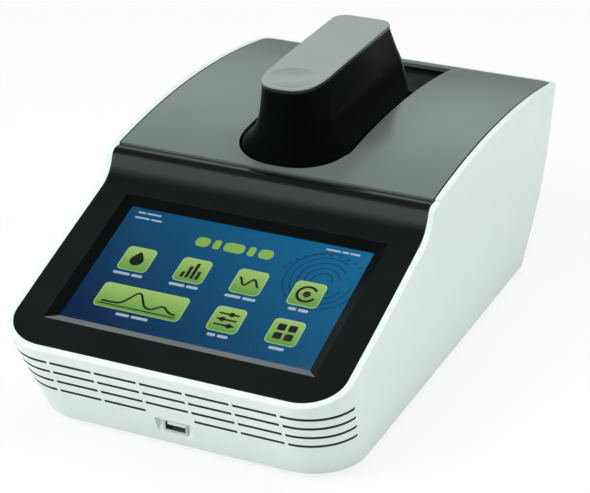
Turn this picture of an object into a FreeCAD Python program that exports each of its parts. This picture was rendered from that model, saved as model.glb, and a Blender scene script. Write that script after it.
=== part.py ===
import FreeCAD, Part
import math
import os
import re
import types

import Sketcher

# Microvolume spectrophotometer: a desk case with a tilted touch display, a crowned deck and a hinged
# sample arm over a lifting pedestal. Millimetres, +Z up, the front faces -Y, and +X is the right hand
# of somebody who stands in front of it. The origin is on the table under the middle of the object.

Vector = FreeCAD.Vector

doc = FreeCAD.newDocument("microvolume_spectrophotometer")
sheet = doc.addObject("Spreadsheet::Sheet", "sizes")

SIZES = (
    # Case shell, measured from the table; each flare adds to the half width at the next height up
    ("foot_height", 3.0),
    ("foot_radius", 8.0),
    ("foot_side_inset", 20.9),
    ("foot_front_inset", 34.0),
    ("foot_rear_inset", 28.0),
    ("front_foot_y", -152.3),
    ("base_length", 293.7),
    ("front_lean", 23.4),
    ("rear_lean", 17.25),
    ("base_half_width", 98.9),
    ("low_flare", 2.9),
    ("low_rise", 24.0),
    ("mid_flare", 2.2),
    ("mid_rise", 46.0),
    ("high_flare", 1.0),
    ("high_rise", 82.0),
    ("top_flare", 0.6),
    ("top_rise", 132.0),
    ("front_corner", 32.0),
    ("front_corner_taper", 2.9),
    ("rear_corner", 8.0),
    ("wall", 3.9),
    ("rim_round", 1.0),
    ("joint_gap", 0.25),
    # Side profile of the front panel and the crowned deck
    ("front_edge_height", 58.0),
    ("panel_tilt", 19.0),
    ("panel_run", 132.0),
    ("step_angle", 68.8),
    ("step_hollow_radius", 20.0),
    ("shoulder_height", 118.7),
    ("shoulder_radius", 5.5),
    ("shoulder_depth", 8.3),
    ("crown_height", 127.3),
    ("crown_behind_crease", 90.6),
    ("crown_radius", 560.0),
    ("panel_back_shift", 1.6),
    ("panel_drop", 2.8),
    ("ledge_depth", 2.6),
    ("ledge_width", 3.0),
    # Vent slots round the front and both front corners
    ("vent_slot", 1.9),
    ("vent_top_rise", 46.0),
    ("vent_pitch", 7.4),
    ("vent_rib_pitch", 28.0),
    ("vent_rib", 2.0),
    ("vent_wrap", 24.0),
    # Window in the front panel and the display stack behind it
    ("window_side_margin", 21.2),
    ("window_start", 19.8),
    ("window_length", 104.2),
    ("window_bevel", 5.4),
    ("glass_thickness", 1.2),
    ("glass_margin", 2.0),
    ("display_thickness", 5.0),
    ("display_inset", 2.0),
    ("display_frame_thickness", 1.2),
    ("display_frame_margin", 8.0),
    ("stack_gap", 0.1),
    ("display_boss_radius", 3.5),
    ("display_boss_inset", 3.6),
    ("display_board_width", 120.0),
    ("display_board_length", 66.0),
    ("display_spacer_radius", 2.5),
    ("display_spacer_length", 4.0),
    ("board_thickness", 1.6),
    # Front port in its own upright recess
    ("port_centre_height", 16.7),
    ("port_recess_setback", 3.6),
    ("port_recess_half_width", 11.2),
    ("port_recess_bottom", 9.0),
    ("port_recess_top", 22.5),
    ("port_block_depth", 5.0),
    ("port_block_margin", 3.2),
    ("port_width", 13.2),
    ("port_height", 5.8),
    ("port_length", 14.0),
    ("port_metal", 0.4),
    ("port_lip", 0.9),
    ("port_proud", 0.9),
    ("port_back_wall", 1.6),
    ("port_board_width", 26.4),
    ("port_board_length", 22.4),
    ("port_hole_inset", 4.5),
    ("tongue_width", 11.1),
    ("tongue_thickness", 1.9),
    ("tongue_length", 13.2),
    ("tongue_rise", 1.1),
    # Base cover, screw bosses, chassis plate and circuit boards
    ("cover_thickness", 2.5),
    ("boss_radius", 4.0),
    ("boss_side_inset", 10.9),
    ("boss_height", 22.0),
    ("boss_bore", 1.6),
    ("boss_bore_depth", 15.4),
    ("boss_web", 3.0),
    ("boss_first", 44.0),
    ("boss_pitch", 105.0),
    ("screw_radius", 1.5),
    ("screw_head_radius", 2.8),
    ("screw_head_height", 1.5),
    ("screw_length", 10.0),
    ("chassis_height", 30.0),
    ("chassis_thickness", 2.0),
    ("chassis_side_gap", 14.9),
    ("chassis_front_y", -42.0),
    ("chassis_rear_y", 118.0),
    ("post_radius", 4.0),
    ("post_inset", 8.0),
    ("main_board_half_width", 66.0),
    ("main_board_front_y", -22.0),
    ("main_board_rear_y", 102.0),
    ("standoff_radius", 2.5),
    ("standoff_height", 6.0),
    ("board_hole_inset", 5.0),
    ("heatsink_width", 32.0),
    ("heatsink_height", 10.0),
    ("heatsink_base", 2.5),
    ("heatsink_fin", 1.2),
    ("heatsink_pitch", 4.4),
    # Rear connector plate in an upright recess
    ("recess_rear_y", 137.5),
    ("recess_half_width", 70.0),
    ("recess_bottom", 10.5),
    ("recess_top", 60.0),
    ("recess_wall", 3.0),
    ("rear_plate_thickness", 2.0),
    ("fan_side", -45.0),
    ("fan_height", 35.0),
    ("fan_size", 40.0),
    ("fan_thickness", 10.0),
    ("fan_bore", 18.6),
    ("fan_rotor_radius", 17.8),
    ("fan_hub_radius", 8.5),
    ("fan_blades", 7),
    ("fan_blade_pitch", 28.0),
    ("fan_blade_inset", 0.76),
    ("fan_blade_thickness", 1.2),
    ("fan_screw_spacing", 32.0),
    ("grille_slot", 3.0),
    ("grille_pitch", 5.0),
    ("grille_radius", 17.6),
    ("io_board_half_width", 30.0),
    ("io_board_side", 14.0),
    ("io_board_depth", 26.0),
    ("rear_port_width", 12.0),
    ("rear_port_height", 10.8),
    ("rear_port_length", 16.0),
    ("rear_port_side", 0.0),
    ("rear_tongue_width", 6.0),
    ("rear_tongue_thickness", 3.6),
    ("rear_tongue_length", 13.6),
    ("inlet_side", 28.0),
    ("inlet_width", 9.0),
    ("inlet_height", 11.0),
    ("inlet_length", 14.4),
    ("inlet_bore", 3.2),
    ("inlet_barrel_wall", 0.45),
    ("inlet_pin_radius", 1.05),
    ("inlet_depth", 9.5),
    ("inlet_pin_setback", 1.0),
    ("switch_side", 54.0),
    ("switch_height", 35.0),
    ("switch_width", 19.0),
    ("switch_tall", 13.0),
    ("switch_depth", 16.0),
    ("switch_rim", 1.6),
    ("switch_wall", 1.5),
    ("rocker_gap", 0.5),
    ("rocker_tilt", 8.0),
    ("rocker_draft", 0.4),
    ("rocker_pivot_radius", 1.2),
    ("rocker_pivot_reach", 0.45),
    ("rocker_depth", 5.0),
    # Deck slot and sample arm
    ("slot_clearance", 0.7),
    ("slot_rear_y", 163.7),
    ("arm_front_y", -25.3),
    ("arm_sink", 8.8),
    ("arm_front_slope", 0.1364),
    ("arm_end_length", 36.0),
    ("arm_end_shape", 2.3),
    ("arm_top_end_length", 34.0),
    ("arm_top_end_shape", 2.9),
    ("arm_half_width", 18.6),
    ("skirt_half_width", 34.9),
    ("skirt_rise", 6.0),
    ("flare_height", 10.5),
    ("flare_ease", 1.5),
    ("arm_wall", 2.5),
    ("arm_height", 49.3),
    ("arm_front_fall", 2.1),
    ("arm_rear_slope", 32.3),
    ("arm_rear_corner", 9.0),
    ("skirt_rear_corner", 30.0),
    ("hinge_y", 109.7),
    ("hinge_rise", 17.0),
    ("knuckle_radius", 13.4),
    ("knuckle_ease", 5.0),
    ("knuckle_notch_half_width", 17.5),
    ("knuckle_notch_drop", 8.1),
    ("cap_thickness", 2.4),
    ("cap_overhang", 0.4),
    ("cap_round", 0.8),
    ("cap_rear_setback", 0.25),
    ("dimple_radius", 14.0),
    ("dimple_depth", 1.0),
    ("dimple_from_front", 15.5),
    # Arm frame, hinge bracket and pin
    ("frame_half_width", 9.0),
    ("frame_knuckle_half_width", 9.7),
    ("frame_knuckle_radius", 9.0),
    ("frame_knuckle_blend", 7.2),
    ("frame_roof_gap", 12.9),
    ("frame_beam_height", 18.0),
    ("frame_shoulder_gap", 2.0),
    ("frame_head_half_depth", 10.0),
    ("frame_boss_side", 5.6),
    ("frame_boss_radius", 2.8),
    ("frame_boss_front", 30.0),
    ("frame_boss_rear", 72.0),
    ("screw_clearance", 0.1),
    ("screw_land", 4.0),
    ("pin_radius", 3.0),
    ("pin_overhang", 1.6),
    ("running_gap", 0.05),
    ("press_gap", 0.02),
    ("ear_inner", 11.0),
    ("ear_outer", 15.0),
    ("ear_radius", 7.0),
    ("ear_stem_front_y", 82.0),
    ("ear_stem_rear_y", 94.0),
    ("bracket_front_y", 66.0),
    ("bracket_rear_y", 102.0),
    ("bracket_base", 3.0),
    ("bush_radius", 5.0),
    ("bush_flange_radius", 6.4),
    ("bush_flange", 1.0),
    # Arm platform, sample tray and lifting pedestal
    ("platform_thickness", 4.0),
    ("platform_half_width", 44.0),
    ("platform_front_y", -32.0),
    ("platform_rear_y", 116.0),
    ("platform_post_inset", 6.0),
    ("tray_floor_gap", 8.5),
    ("tray_floor_thickness", 2.0),
    ("tray_wall", 1.6),
    ("tray_shelf_rise", 4.5),
    ("tray_shelf_y", 126.0),
    ("tray_leg_radius", 4.0),
    ("tray_leg_length", 6.0),
    ("tray_leg_side", 26.0),
    ("tray_leg_front_y", 6.0),
    ("tray_leg_rear_y", 64.0),
    ("tray_hinge_half_width", 17.0),
    ("tray_hinge_margin", 2.0),
    ("bumper_radius", 1.4),
    ("bumper_y", 20.0),
    ("bumper_gap", 0.3),
    ("pedestal_setback", 25.3),
    ("pedestal_radius", 5.0),
    ("pedestal_neck", 3.0),
    ("pedestal_tip", 1.25),
    ("pedestal_tip_height", 1.0),
    ("pedestal_rise", 4.5),
    ("pedestal_tail", 1.0),
    ("path_length", 1.0),
    ("tray_pedestal_hole", 9.0),
    ("sample_plate_radius", 16.0),
    ("sample_plate_thickness", 1.2),
    ("upper_neck_length", 4.5),
    ("upper_flange_thickness", 2.0),
    ("upper_flange_radius", 6.0),
    ("upper_stem_radius", 4.0),
    ("upper_stem_length", 12.0),
    ("guide_bush_radius", 8.0),
    ("guide_bush_flange_radius", 10.0),
    ("guide_bush_flange", 1.6),
    ("carriage_drop", 18.0),
    ("carriage_thickness", 4.0),
    ("carriage_half_depth", 9.0),
    ("carriage_front_x", -7.0),
    ("screw_side", 26.0),
    ("lead_screw_radius", 2.0),
    ("lead_screw_top_gap", 3.0),
    ("guide_side", 12.6),
    ("guide_spread", 6.0),
    ("guide_rod_radius", 1.5),
    ("motor_plate_height", 66.0),
    ("motor_plate_thickness", 2.0),
    ("motor_width", 20.0),
    ("motor_length", 26.0),
    ("motor_shaft_depth", 8.0),
    ("bracket_leg", 2.0),
    ("bracket_leg_spread", 11.0),
    ("bracket_margin", 1.0),
    ("fibre_pass_radius", 2.4),
    # Optical bench on the chassis plate
    ("bench_half_width", 34.0),
    ("bench_front_y", 46.0),
    ("bench_rear_y", 102.0),
    ("bench_depth", 24.0),
    ("bench_wall", 3.0),
    ("bench_lid", 2.5),
    ("optic_size", 17.0),
    ("optic_thickness", 5.0),
    ("optic_margin", 2.0),
    ("first_mirror_side", 2.0),
    ("first_mirror_turn", -8.0),
    ("focus_mirror_side", -19.0),
    ("focus_mirror_turn", 10.0),
    ("grating_side", 18.0),
    ("grating_turn", 12.0),
    ("detector_side", -17.0),
    ("detector_width", 23.8),
    ("detector_thickness", 3.0),
    ("fibre_radius", 0.8),
    ("fibre_gap", 0.15),
    ("fibre_height", 46.0),
    ("fibre_bend", 14.0),
    ("lamp_fibre_bend", 11.2),
    ("arm_fibre_bend", 8.4),
    ("arm_fibre_tight_bend", 4.5),
    ("arm_fibre_seat", 6.0),
    ("arm_fibre_seat_gap", 1.0),
    ("lamp_side", 61.0),
    ("lamp_half_width", 18.0),
    ("lamp_front_y", 44.0),
    ("lamp_rear_y", 100.0),
    ("lamp_height", 34.0),
    ("lamp_wall", 3.0),
    ("bulb_radius", 9.0),
    ("bulb_length", 30.0),
    ("bulb_base_radius", 12.0),
    ("bulb_lift", 1.0),
    ("lamp_fibre_turn_y", 18.0),
    ("lamp_fibre_side", 12.0),
    ("lamp_fibre_rise", 1.5),
    ("arm_fibre_rise", 5.5),
    ("arm_fibre_end_y", 92.0),
)

# Widths, heights and places that follow from the sizes, in the order in which the pieces stack
FOLLOWING = (
    ("low_half_width", "=base_half_width + low_flare"),
    ("mid_half_width", "=low_half_width + mid_flare"),
    ("high_half_width", "=mid_half_width + high_flare"),
    ("top_half_width", "=high_half_width + top_flare"),
    ("foot_side", "=base_half_width - foot_side_inset"),
    ("boss_side", "=base_half_width - boss_side_inset"),
    ("chassis_half_width", "=base_half_width - chassis_side_gap"),
    ("window_half_width", "=mid_half_width - window_side_margin"),
    ("arm_bottom", "=crown_height - arm_sink"),
    ("skirt_height", "=arm_bottom + skirt_rise"),
    ("arm_top_height", "=arm_bottom + arm_height"),
    ("hinge_height", "=arm_bottom + hinge_rise"),
    ("knuckle_notch_top", "=hinge_height - knuckle_notch_drop"),
    ("cap_rear_height", "=arm_top_height - cap_thickness - hinge_height"),
    ("cap_rear_reach", "=knuckle_radius / cos(arm_rear_slope * 1deg) - cap_rear_setback"),
    ("cap_rear_y", "=hinge_y + cap_rear_reach - cap_rear_height * tan(arm_rear_slope * 1deg)"),
    ("frame_top", "=arm_top_height - cap_thickness - arm_wall - frame_roof_gap"),
    ("frame_bottom", "=frame_top - frame_beam_height"),
    ("arm_fibre_height", "=frame_top + arm_fibre_rise"),
    ("tray_floor", "=arm_bottom - tray_floor_gap"),
    ("tray_shelf_height", "=tray_floor + tray_shelf_rise"),
    ("platform_height", "=tray_floor - tray_leg_length - platform_thickness"),
    ("pedestal_top", "=tray_floor + tray_floor_thickness + pedestal_rise"),
    ("upper_neck_top", "=pedestal_top + path_length + upper_neck_length"),
    ("frame_head_bottom", "=upper_neck_top + upper_flange_thickness"),
    ("upper_stem_top", "=frame_head_bottom + upper_stem_length"),
    ("carriage_height", "=platform_height - carriage_drop"),
    ("pedestal_bottom", "=carriage_height - pedestal_tail"),
)

for row, (name, entry) in enumerate(SIZES + FOLLOWING, start=1):
    sheet.set(f"A{row}", str(entry))
    sheet.setAlias(f"A{row}", name)
doc.recompute()
g = types.SimpleNamespace(**{name: float(sheet.get(name)) for name, entry in SIZES + FOLLOWING})

# Lengths that several pieces share, as expressions on the sheet
REAR_FOOT_Y = "(front_foot_y + base_length)"
COVER_TOP = "(foot_height + cover_thickness)"
BOARD_BOTTOM = f"({COVER_TOP} + standoff_height)"
BOARD_TOP = f"({BOARD_BOTTOM} + board_thickness)"
CHASSIS_TOP = "(chassis_height + chassis_thickness)"
PLATFORM_TOP = "(platform_height + platform_thickness)"
TRAY_TOP = "(tray_floor + tray_floor_thickness)"
PEDESTAL_Y = "(arm_front_y + pedestal_setback)"
REAR_PLATE_FRONT = "(recess_rear_y - rear_plate_thickness)"

nodes = []


def expression(text):
    """Point every name in a length at its cell in the sheet."""
    return re.sub(r"\b(?!(?:cos|sin|tan|sqrt|deg)\b)([a-z][a-z0-9_]*)", r"sizes.\1", str(text))


def bind(thing, prop, text):
    thing.setExpression(prop, expression(text))


def place(thing, at, axis=None, angle=None):
    """Put a piece at a point, turned about one axis."""
    if axis is not None:
        start = thing.Placement
        start.Rotation = FreeCAD.Rotation(Vector(*axis), 45)
        thing.Placement = start
        bind(thing, "Placement.Rotation.Angle", f"({angle}) * 1deg")
    for letter, text in zip("xyz", at):
        bind(thing, f"Placement.Base.{letter}", text)
    return thing


def named(thing, label):
    """Register a finished sub-part under its own name."""
    thing.Label = label
    nodes.append(thing)
    return thing


def block(size, at, axis=None, angle=None):
    solid = doc.addObject("Part::Box", "Block")
    for prop, text in zip(("Length", "Width", "Height"), size):
        bind(solid, prop, text)
    return place(solid, at, axis, angle)


def rod(radius, length, at, along="Z"):
    solid = doc.addObject("Part::Cylinder", "Rod")
    bind(solid, "Radius", radius)
    bind(solid, "Height", length)
    if along == "X":
        return place(solid, at, (0, 1, 0), 90)
    if along == "Y":
        return place(solid, at, (-1, 0, 0), 90)
    return place(solid, at)


def joined(parts):
    if len(parts) == 1:
        return parts[0]
    solid = doc.addObject("Part::MultiFuse", "Joined")
    solid.Shapes = parts
    return solid


def less(base, tools):
    solid = doc.addObject("Part::Cut", "Cut")
    solid.Base = base
    solid.Tool = joined(tools)
    return solid


def group(label, parts):
    """Several separate solids of one kind in one node."""
    solids = doc.addObject("Part::Compound", "Group")
    solids.Links = parts
    return named(solids, label)


def new_body():
    return doc.addObject("PartDesign::Body", "Body")


def sketch(body, role, loops):
    """Closed loops of corners, or circles, whose every coordinate is bound to the sheet."""
    drawing = body.newObject("Sketcher::SketchObject", "Sketch")
    planes = [feature for feature in body.Origin.OriginFeatures if feature.Role == role]
    drawing.AttachmentSupport = (planes[0], [""])
    drawing.MapMode = "FlatFace"

    def limit(constraint, text):
        bind(drawing, f"Constraints[{drawing.addConstraint(constraint)}]", text)

    for loop in loops:
        if loop[0] == "circle":
            ring = drawing.addGeometry(Part.Circle(Vector(), Vector(0, 0, 1), 1.0), False)
            limit(Sketcher.Constraint("DistanceX", -1, 1, ring, 3, 1.0), loop[1])
            limit(Sketcher.Constraint("DistanceY", -1, 1, ring, 3, 1.0), loop[2])
            limit(Sketcher.Constraint("Radius", ring, 1.0), loop[3])
            continue
        count = len(loop)
        first = drawing.GeometryCount
        turn = 2 * math.pi / count
        corners = [Vector(math.cos(turn * i), math.sin(turn * i), 0) for i in range(count)]
        for i in range(count):
            drawing.addGeometry(Part.LineSegment(corners[i], corners[(i + 1) % count]), False)
        for i in range(count):
            following = first + (i + 1) % count
            drawing.addConstraint(Sketcher.Constraint("Coincident", first + i, 2, following, 1))
        for i, (across, up) in enumerate(loop):
            limit(Sketcher.Constraint("DistanceX", -1, 1, first + i, 1, corners[i].x), across)
            limit(Sketcher.Constraint("DistanceY", -1, 1, first + i, 1, corners[i].y), up)
    return drawing


def rectangle(low_x, low_y, high_x, high_y):
    return [(low_x, low_y), (high_x, low_y), (high_x, high_y), (low_x, high_y)]


def pad(body, role, loops, length, midplane=False, backwards=False):
    feature = body.newObject("PartDesign::Pad", "Pad")
    feature.Profile = sketch(body, role, loops)
    bind(feature, "Length", length)
    feature.Midplane = midplane
    feature.Reversed = backwards
    return feature


def pocket(body, role, loops, length):
    """Cut both ways from a plane through the body."""
    feature = body.newObject("PartDesign::Pocket", "Pocket")
    feature.Profile = sketch(body, role, loops)
    bind(feature, "Length", length)
    feature.Midplane = True
    return feature


def plate(label, loops, thickness, bottom):
    """A flat plate or board, drawn in plan with its holes and padded upwards."""
    body = new_body()
    pad(body, "XY_Plane", loops, thickness)
    place(body, ("0", "0", bottom))
    return named(body, label)


def turned(label, outline, at, along="Z"):
    """A turned piece: a half section of (radius, height) corners, revolved about its axis."""
    body = new_body()
    feature = body.newObject("PartDesign::Revolution", "Revolution")
    feature.Profile = drawing = sketch(body, "XZ_Plane", [outline])
    feature.ReferenceAxis = (drawing, ["V_Axis"])
    feature.Angle = 360
    if along == "X":
        place(body, at, (0, 1, 0), 90)
    else:
        place(body, at)
    return named(body, label) if label else body


def shaped(label, shape):
    """A free-form piece, worked out from the sheet's values."""
    feature = doc.addObject("Part::Feature", "Shaped")
    feature.Shape = shape
    return named(feature, label)


# Plan outline of the case at one height, and the tapering block that it makes


def rounded_plan(half_width, front, rear, front_radius, rear_radius, height):
    def corner(x, y, radius, angle):
        middle = math.radians(angle)
        return Vector(x + radius * math.cos(middle), y + radius * math.sin(middle), height)

    fx = half_width - front_radius
    rx = half_width - rear_radius
    fy = front + front_radius
    ry = rear - rear_radius
    points = [
        Vector(-fx, front, height),
        Vector(fx, front, height),
        Vector(half_width, fy, height),
        Vector(half_width, ry, height),
        Vector(rx, rear, height),
        Vector(-rx, rear, height),
        Vector(-half_width, ry, height),
        Vector(-half_width, fy, height),
    ]
    edges = [
        Part.makeLine(points[0], points[1]),
        Part.Arc(points[1], corner(fx, fy, front_radius, -45), points[2]).toShape(),
        Part.makeLine(points[2], points[3]),
        Part.Arc(points[3], corner(rx, ry, rear_radius, 45), points[4]).toShape(),
        Part.makeLine(points[4], points[5]),
        Part.Arc(points[5], corner(-rx, ry, rear_radius, 135), points[6]).toShape(),
        Part.makeLine(points[6], points[7]),
        Part.Arc(points[7], corner(-fx, fy, front_radius, -135), points[0]).toShape(),
    ]
    return Part.Wire(edges)


def case_block(inset):
    """The tapering block inside the case walls, a given distance in from the outer faces."""
    front_slope = math.tan(math.radians(g.front_lean))
    rear_slope = math.tan(math.radians(g.rear_lean))
    front_inset = inset / math.cos(math.radians(g.front_lean))
    rear_inset = inset / math.cos(math.radians(g.rear_lean))
    levels = (
        (0.0, g.base_half_width),
        (g.low_rise, g.low_half_width),
        (g.mid_rise, g.mid_half_width),
        (g.high_rise, g.high_half_width),
        (g.top_rise, g.top_half_width),
    )
    outlines = []
    for rise, half_width in levels:
        front = g.front_foot_y - rise * front_slope + front_inset
        rear = g.front_foot_y + g.base_length + rise * rear_slope - rear_inset
        front_radius = g.front_corner - g.front_corner_taper * rise / g.mid_rise - inset
        rear_radius = g.rear_corner - inset / 2
        height = g.foot_height + rise
        outlines.append(rounded_plan(half_width - inset, front, rear, front_radius, rear_radius, height))
    return Part.makeLoft(outlines, True, False)


# Side profile: front panel, step, shoulder and crowned deck


def front_edge_y():
    rise = g.front_edge_height - g.foot_height
    return g.front_foot_y - rise * math.tan(math.radians(g.front_lean))


def crease_y():
    rise = g.shoulder_height - g.front_edge_height - g.panel_run * math.tan(math.radians(g.panel_tilt))
    step_run = rise / math.tan(math.radians(g.step_angle))
    return front_edge_y() + g.panel_run + step_run + g.shoulder_depth


def deck_height(y):
    """Height of the crowned deck, an arc of the crown radius seen from the side."""
    return g.crown_height - (y - crease_y() - g.crown_behind_crease) ** 2 / (2 * g.crown_radius)


def rounded_corner(before, corner, after, radius):
    """Tangent points and middle of the arc that rounds a corner between two straight runs."""
    back = (before - corner).normalize()
    ahead = (after - corner).normalize()
    half_angle = back.getAngle(ahead) / 2
    reach = radius / math.tan(half_angle)
    bisector = (back + ahead).normalize()
    middle = corner + bisector * (radius / math.sin(half_angle) - radius)
    return corner + back * reach, middle, corner + ahead * reach


def roof_block(back=0.0, drop=0.0):
    """Everything under the side profile, moved back and down to make an inner face."""
    reach = g.base_length
    tilt = math.tan(math.radians(g.panel_tilt))
    front = front_edge_y()
    floor = -g.foot_height
    far_front = Vector(0, -reach, g.front_edge_height + (-reach - front) * tilt)
    step_foot = Vector(0, front + g.panel_run, g.front_edge_height + g.panel_run * tilt)
    shoulder = Vector(0, crease_y() - g.shoulder_depth, g.shoulder_height)
    crease = Vector(0, crease_y(), g.shoulder_height)
    crown_y = crease_y() + g.crown_behind_crease
    hollow = rounded_corner(far_front, step_foot, shoulder, g.step_hollow_radius)
    brow = rounded_corner(step_foot, shoulder, crease, g.shoulder_radius)
    deck_start = Vector(0, crease_y(), deck_height(crease_y()))
    deck_top = Vector(0, crown_y, g.crown_height)
    deck_end = Vector(0, reach, deck_height(reach))
    edges = [
        Part.makeLine(far_front, hollow[0]),
        Part.Arc(*hollow).toShape(),
        Part.makeLine(hollow[2], brow[0]),
        Part.Arc(*brow).toShape(),
        Part.makeLine(brow[2], crease),
        Part.makeLine(crease, deck_start),
        Part.Arc(deck_start, deck_top, deck_end).toShape(),
        Part.makeLine(deck_end, Vector(0, reach, floor)),
        Part.makeLine(Vector(0, reach, floor), Vector(0, -reach, floor)),
        Part.makeLine(Vector(0, -reach, floor), far_front),
    ]
    side = Part.Face(Part.Wire(edges))
    solid = side.extrude(Vector(2 * reach, 0, 0))
    solid.translate(Vector(-reach, back, -drop))
    return solid


def is_level(face):
    """Whether a face looks more up or down than sideways at its middle."""
    low_u, high_u, low_v, high_v = face.ParameterRange
    return abs(face.normalAt((low_u + high_u) / 2, (low_v + high_v) / 2).z) > math.sqrt(0.5)


def rim_edges(solid, low):
    """Edges above a height where a level face meets an upright one."""
    picked = []
    for edge in solid.Edges:
        faces = solid.ancestorsOfType(edge, Part.Face)
        if edge.BoundBox.ZMin > low and sum(is_level(face) for face in faces) == 1:
            picked.append(edge)
    return picked


def loft_edges(solid, low):
    """Edges above a height where the tapering wall meets the side profile."""
    picked = []
    for edge in solid.Edges:
        surfaces = [type(face.Surface).__name__ for face in solid.ancestorsOfType(edge, Part.Face)]
        if edge.BoundBox.ZMin > low and surfaces.count("BSplineSurface") == 1:
            picked.append(edge)
    return picked


def span_block(low, high):
    """A plain block between two corners."""
    size = Vector(*high) - Vector(*low)
    return Part.makeBox(size.x, size.y, size.z, Vector(*low))


def panel_frame():
    """Placement on the face of the tilted front panel: x across, y up the panel, z out of it."""
    start = front_edge_y() + g.wall
    rise = g.wall * math.tan(math.radians(g.panel_tilt))
    origin = Vector(0, start, g.front_edge_height + rise)
    return FreeCAD.Placement(origin, FreeCAD.Rotation(Vector(1, 0, 0), g.panel_tilt))


def on_panel(shape):
    shape.Placement = panel_frame().multiply(shape.Placement)
    return shape


def vent_tools():
    """Thin blocks that cut the vent slots, with ribs left between them."""
    reach = 2 * g.top_half_width
    slope = math.tan(math.radians(g.front_lean))
    tools = []
    for row in range(4):
        rise = g.vent_top_rise - row * g.vent_pitch
        low = g.foot_height + rise - g.vent_slot / 2
        face = g.front_foot_y - rise * slope
        edge = g.vent_rib_pitch * 2.5
        for side in (-1, 1):
            start = side * (edge + g.vent_rib / 2)
            ends = sorted((start, side * reach))
            corner_low = (ends[0], face - g.front_corner, low)
            corner_high = (ends[1], face + g.vent_wrap, low + g.vent_slot)
            tools.append(span_block(corner_low, corner_high))
        for gap in range(-2, 3):
            if row == 3 and gap == 0:
                continue
            left = (gap - 0.5) * g.vent_rib_pitch + g.vent_rib / 2
            right = (gap + 0.5) * g.vent_rib_pitch - g.vent_rib / 2
            depth = 2 * g.wall
            tools.append(span_block((left, face - depth, low), (right, face + depth, low + g.vent_slot)))
    return tools


def port_plane():
    return g.front_foot_y - g.port_recess_setback


def boss_places():
    for side in (-1, 1):
        for step in range(3):
            yield side, g.front_foot_y + g.boss_first + step * g.boss_pitch


def upper_case():
    """White moulded shell, open below and above, with ledges, bosses and two upright recesses."""
    outer = case_block(0).common(roof_block()).Solids[0]
    inner = case_block(g.wall)
    rim = loft_edges(outer, g.front_edge_height - g.rim_round)
    shell = outer.makeFillet(g.rim_round, rim).cut(inner)
    seat_back = g.panel_back_shift
    seat = g.panel_drop + g.joint_gap
    ledge = inner.common(roof_block(seat_back, seat))
    ledge = ledge.cut(roof_block(seat_back, seat + g.ledge_depth))
    ledge = ledge.cut(case_block(g.wall + g.ledge_width))
    additions = list(ledge.Solids)
    cover_top = g.foot_height + g.cover_thickness
    for side, y in boss_places():
        low = cover_top + g.joint_gap
        boss = Part.makeCylinder(g.boss_radius, g.boss_height, Vector(side * g.boss_side, y, low))
        ends = sorted((side * g.boss_side, side * (g.base_half_width - g.wall / 2)))
        web_low = (ends[0], y - g.boss_web / 2, low)
        web_high = (ends[1], y + g.boss_web / 2, low + g.boss_height)
        additions += [boss, span_block(web_low, web_high)]
    half = g.port_recess_half_width + g.port_block_margin
    low = (-half, port_plane(), g.port_recess_bottom)
    high = (half, port_plane() + g.port_block_depth, g.port_recess_top + g.port_block_margin)
    additions.append(span_block(low, high).common(outer))
    half = g.recess_half_width + g.recess_wall
    low = (-half, g.recess_rear_y, g.recess_bottom - g.recess_wall)
    high = (half, g.recess_rear_y + g.base_length / 2, g.recess_top + g.recess_wall)
    additions.append(span_block(low, high).common(outer))
    shell = shell.fuse(additions)
    half = g.recess_half_width
    low = (-half, g.recess_rear_y - g.recess_wall, g.recess_bottom)
    high = (half, g.base_length, g.recess_top)
    tools = [span_block(low, high)]
    half = g.port_recess_half_width
    low = (-half, port_plane() - g.base_length / 4, g.port_recess_bottom)
    tools.append(span_block(low, (half, port_plane(), g.port_recess_top)))
    half_x = g.port_width / 2 + g.joint_gap / 2
    half_z = g.port_height / 2 + g.joint_gap / 2
    low = (-half_x, port_plane() - g.wall, g.port_centre_height - half_z)
    high = (half_x, port_plane() + g.port_block_depth + g.wall, g.port_centre_height + half_z)
    tools.append(span_block(low, high))
    for side, y in boss_places():
        bore_low = Vector(side * g.boss_side, y, g.foot_height)
        tools.append(Part.makeCylinder(g.boss_bore, g.boss_bore_depth, bore_low))
    shell = shell.cut(Part.makeCompound(tools + vent_tools()))
    shell = shell.removeSplitter()
    return shaped("upper_case", max(shell.Solids, key=lambda solid: solid.Volume))


def panel_skin():
    """The closing skin that drops into the case rim: front panel and deck before they are parted."""
    skin = case_block(g.wall + g.joint_gap).common(roof_block())
    return skin.cut(roof_block(g.panel_back_shift, g.panel_drop))


def flat_rectangle(half_width, low, high, height):
    corners = [
        Vector(-half_width, low, height),
        Vector(half_width, low, height),
        Vector(half_width, high, height),
        Vector(-half_width, high, height),
    ]
    return Part.makePolygon(corners + corners[:1])


def stack_depth(layers):
    """Depth under the panel face of the top of a layer in the display stack."""
    tilt = math.radians(g.panel_tilt)
    panel = g.panel_drop * math.cos(tilt) + g.panel_back_shift * math.sin(tilt)
    return panel + g.stack_gap + layers


def frame_limits():
    """Half width, start and end of the metal display frame along the panel."""
    half_width = g.window_half_width + g.display_frame_margin
    start = g.window_start - g.display_frame_margin
    return half_width, start, g.window_start + g.window_length + g.display_frame_margin


def boss_spots():
    half_width, start, end = frame_limits()
    for x in (-half_width + g.display_boss_inset, half_width - g.display_boss_inset):
        for y in (start + g.display_boss_inset, end - g.display_boss_inset):
            yield x, y


def frame_depth():
    return stack_depth(g.glass_thickness + g.display_thickness + 2 * g.stack_gap)


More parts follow.
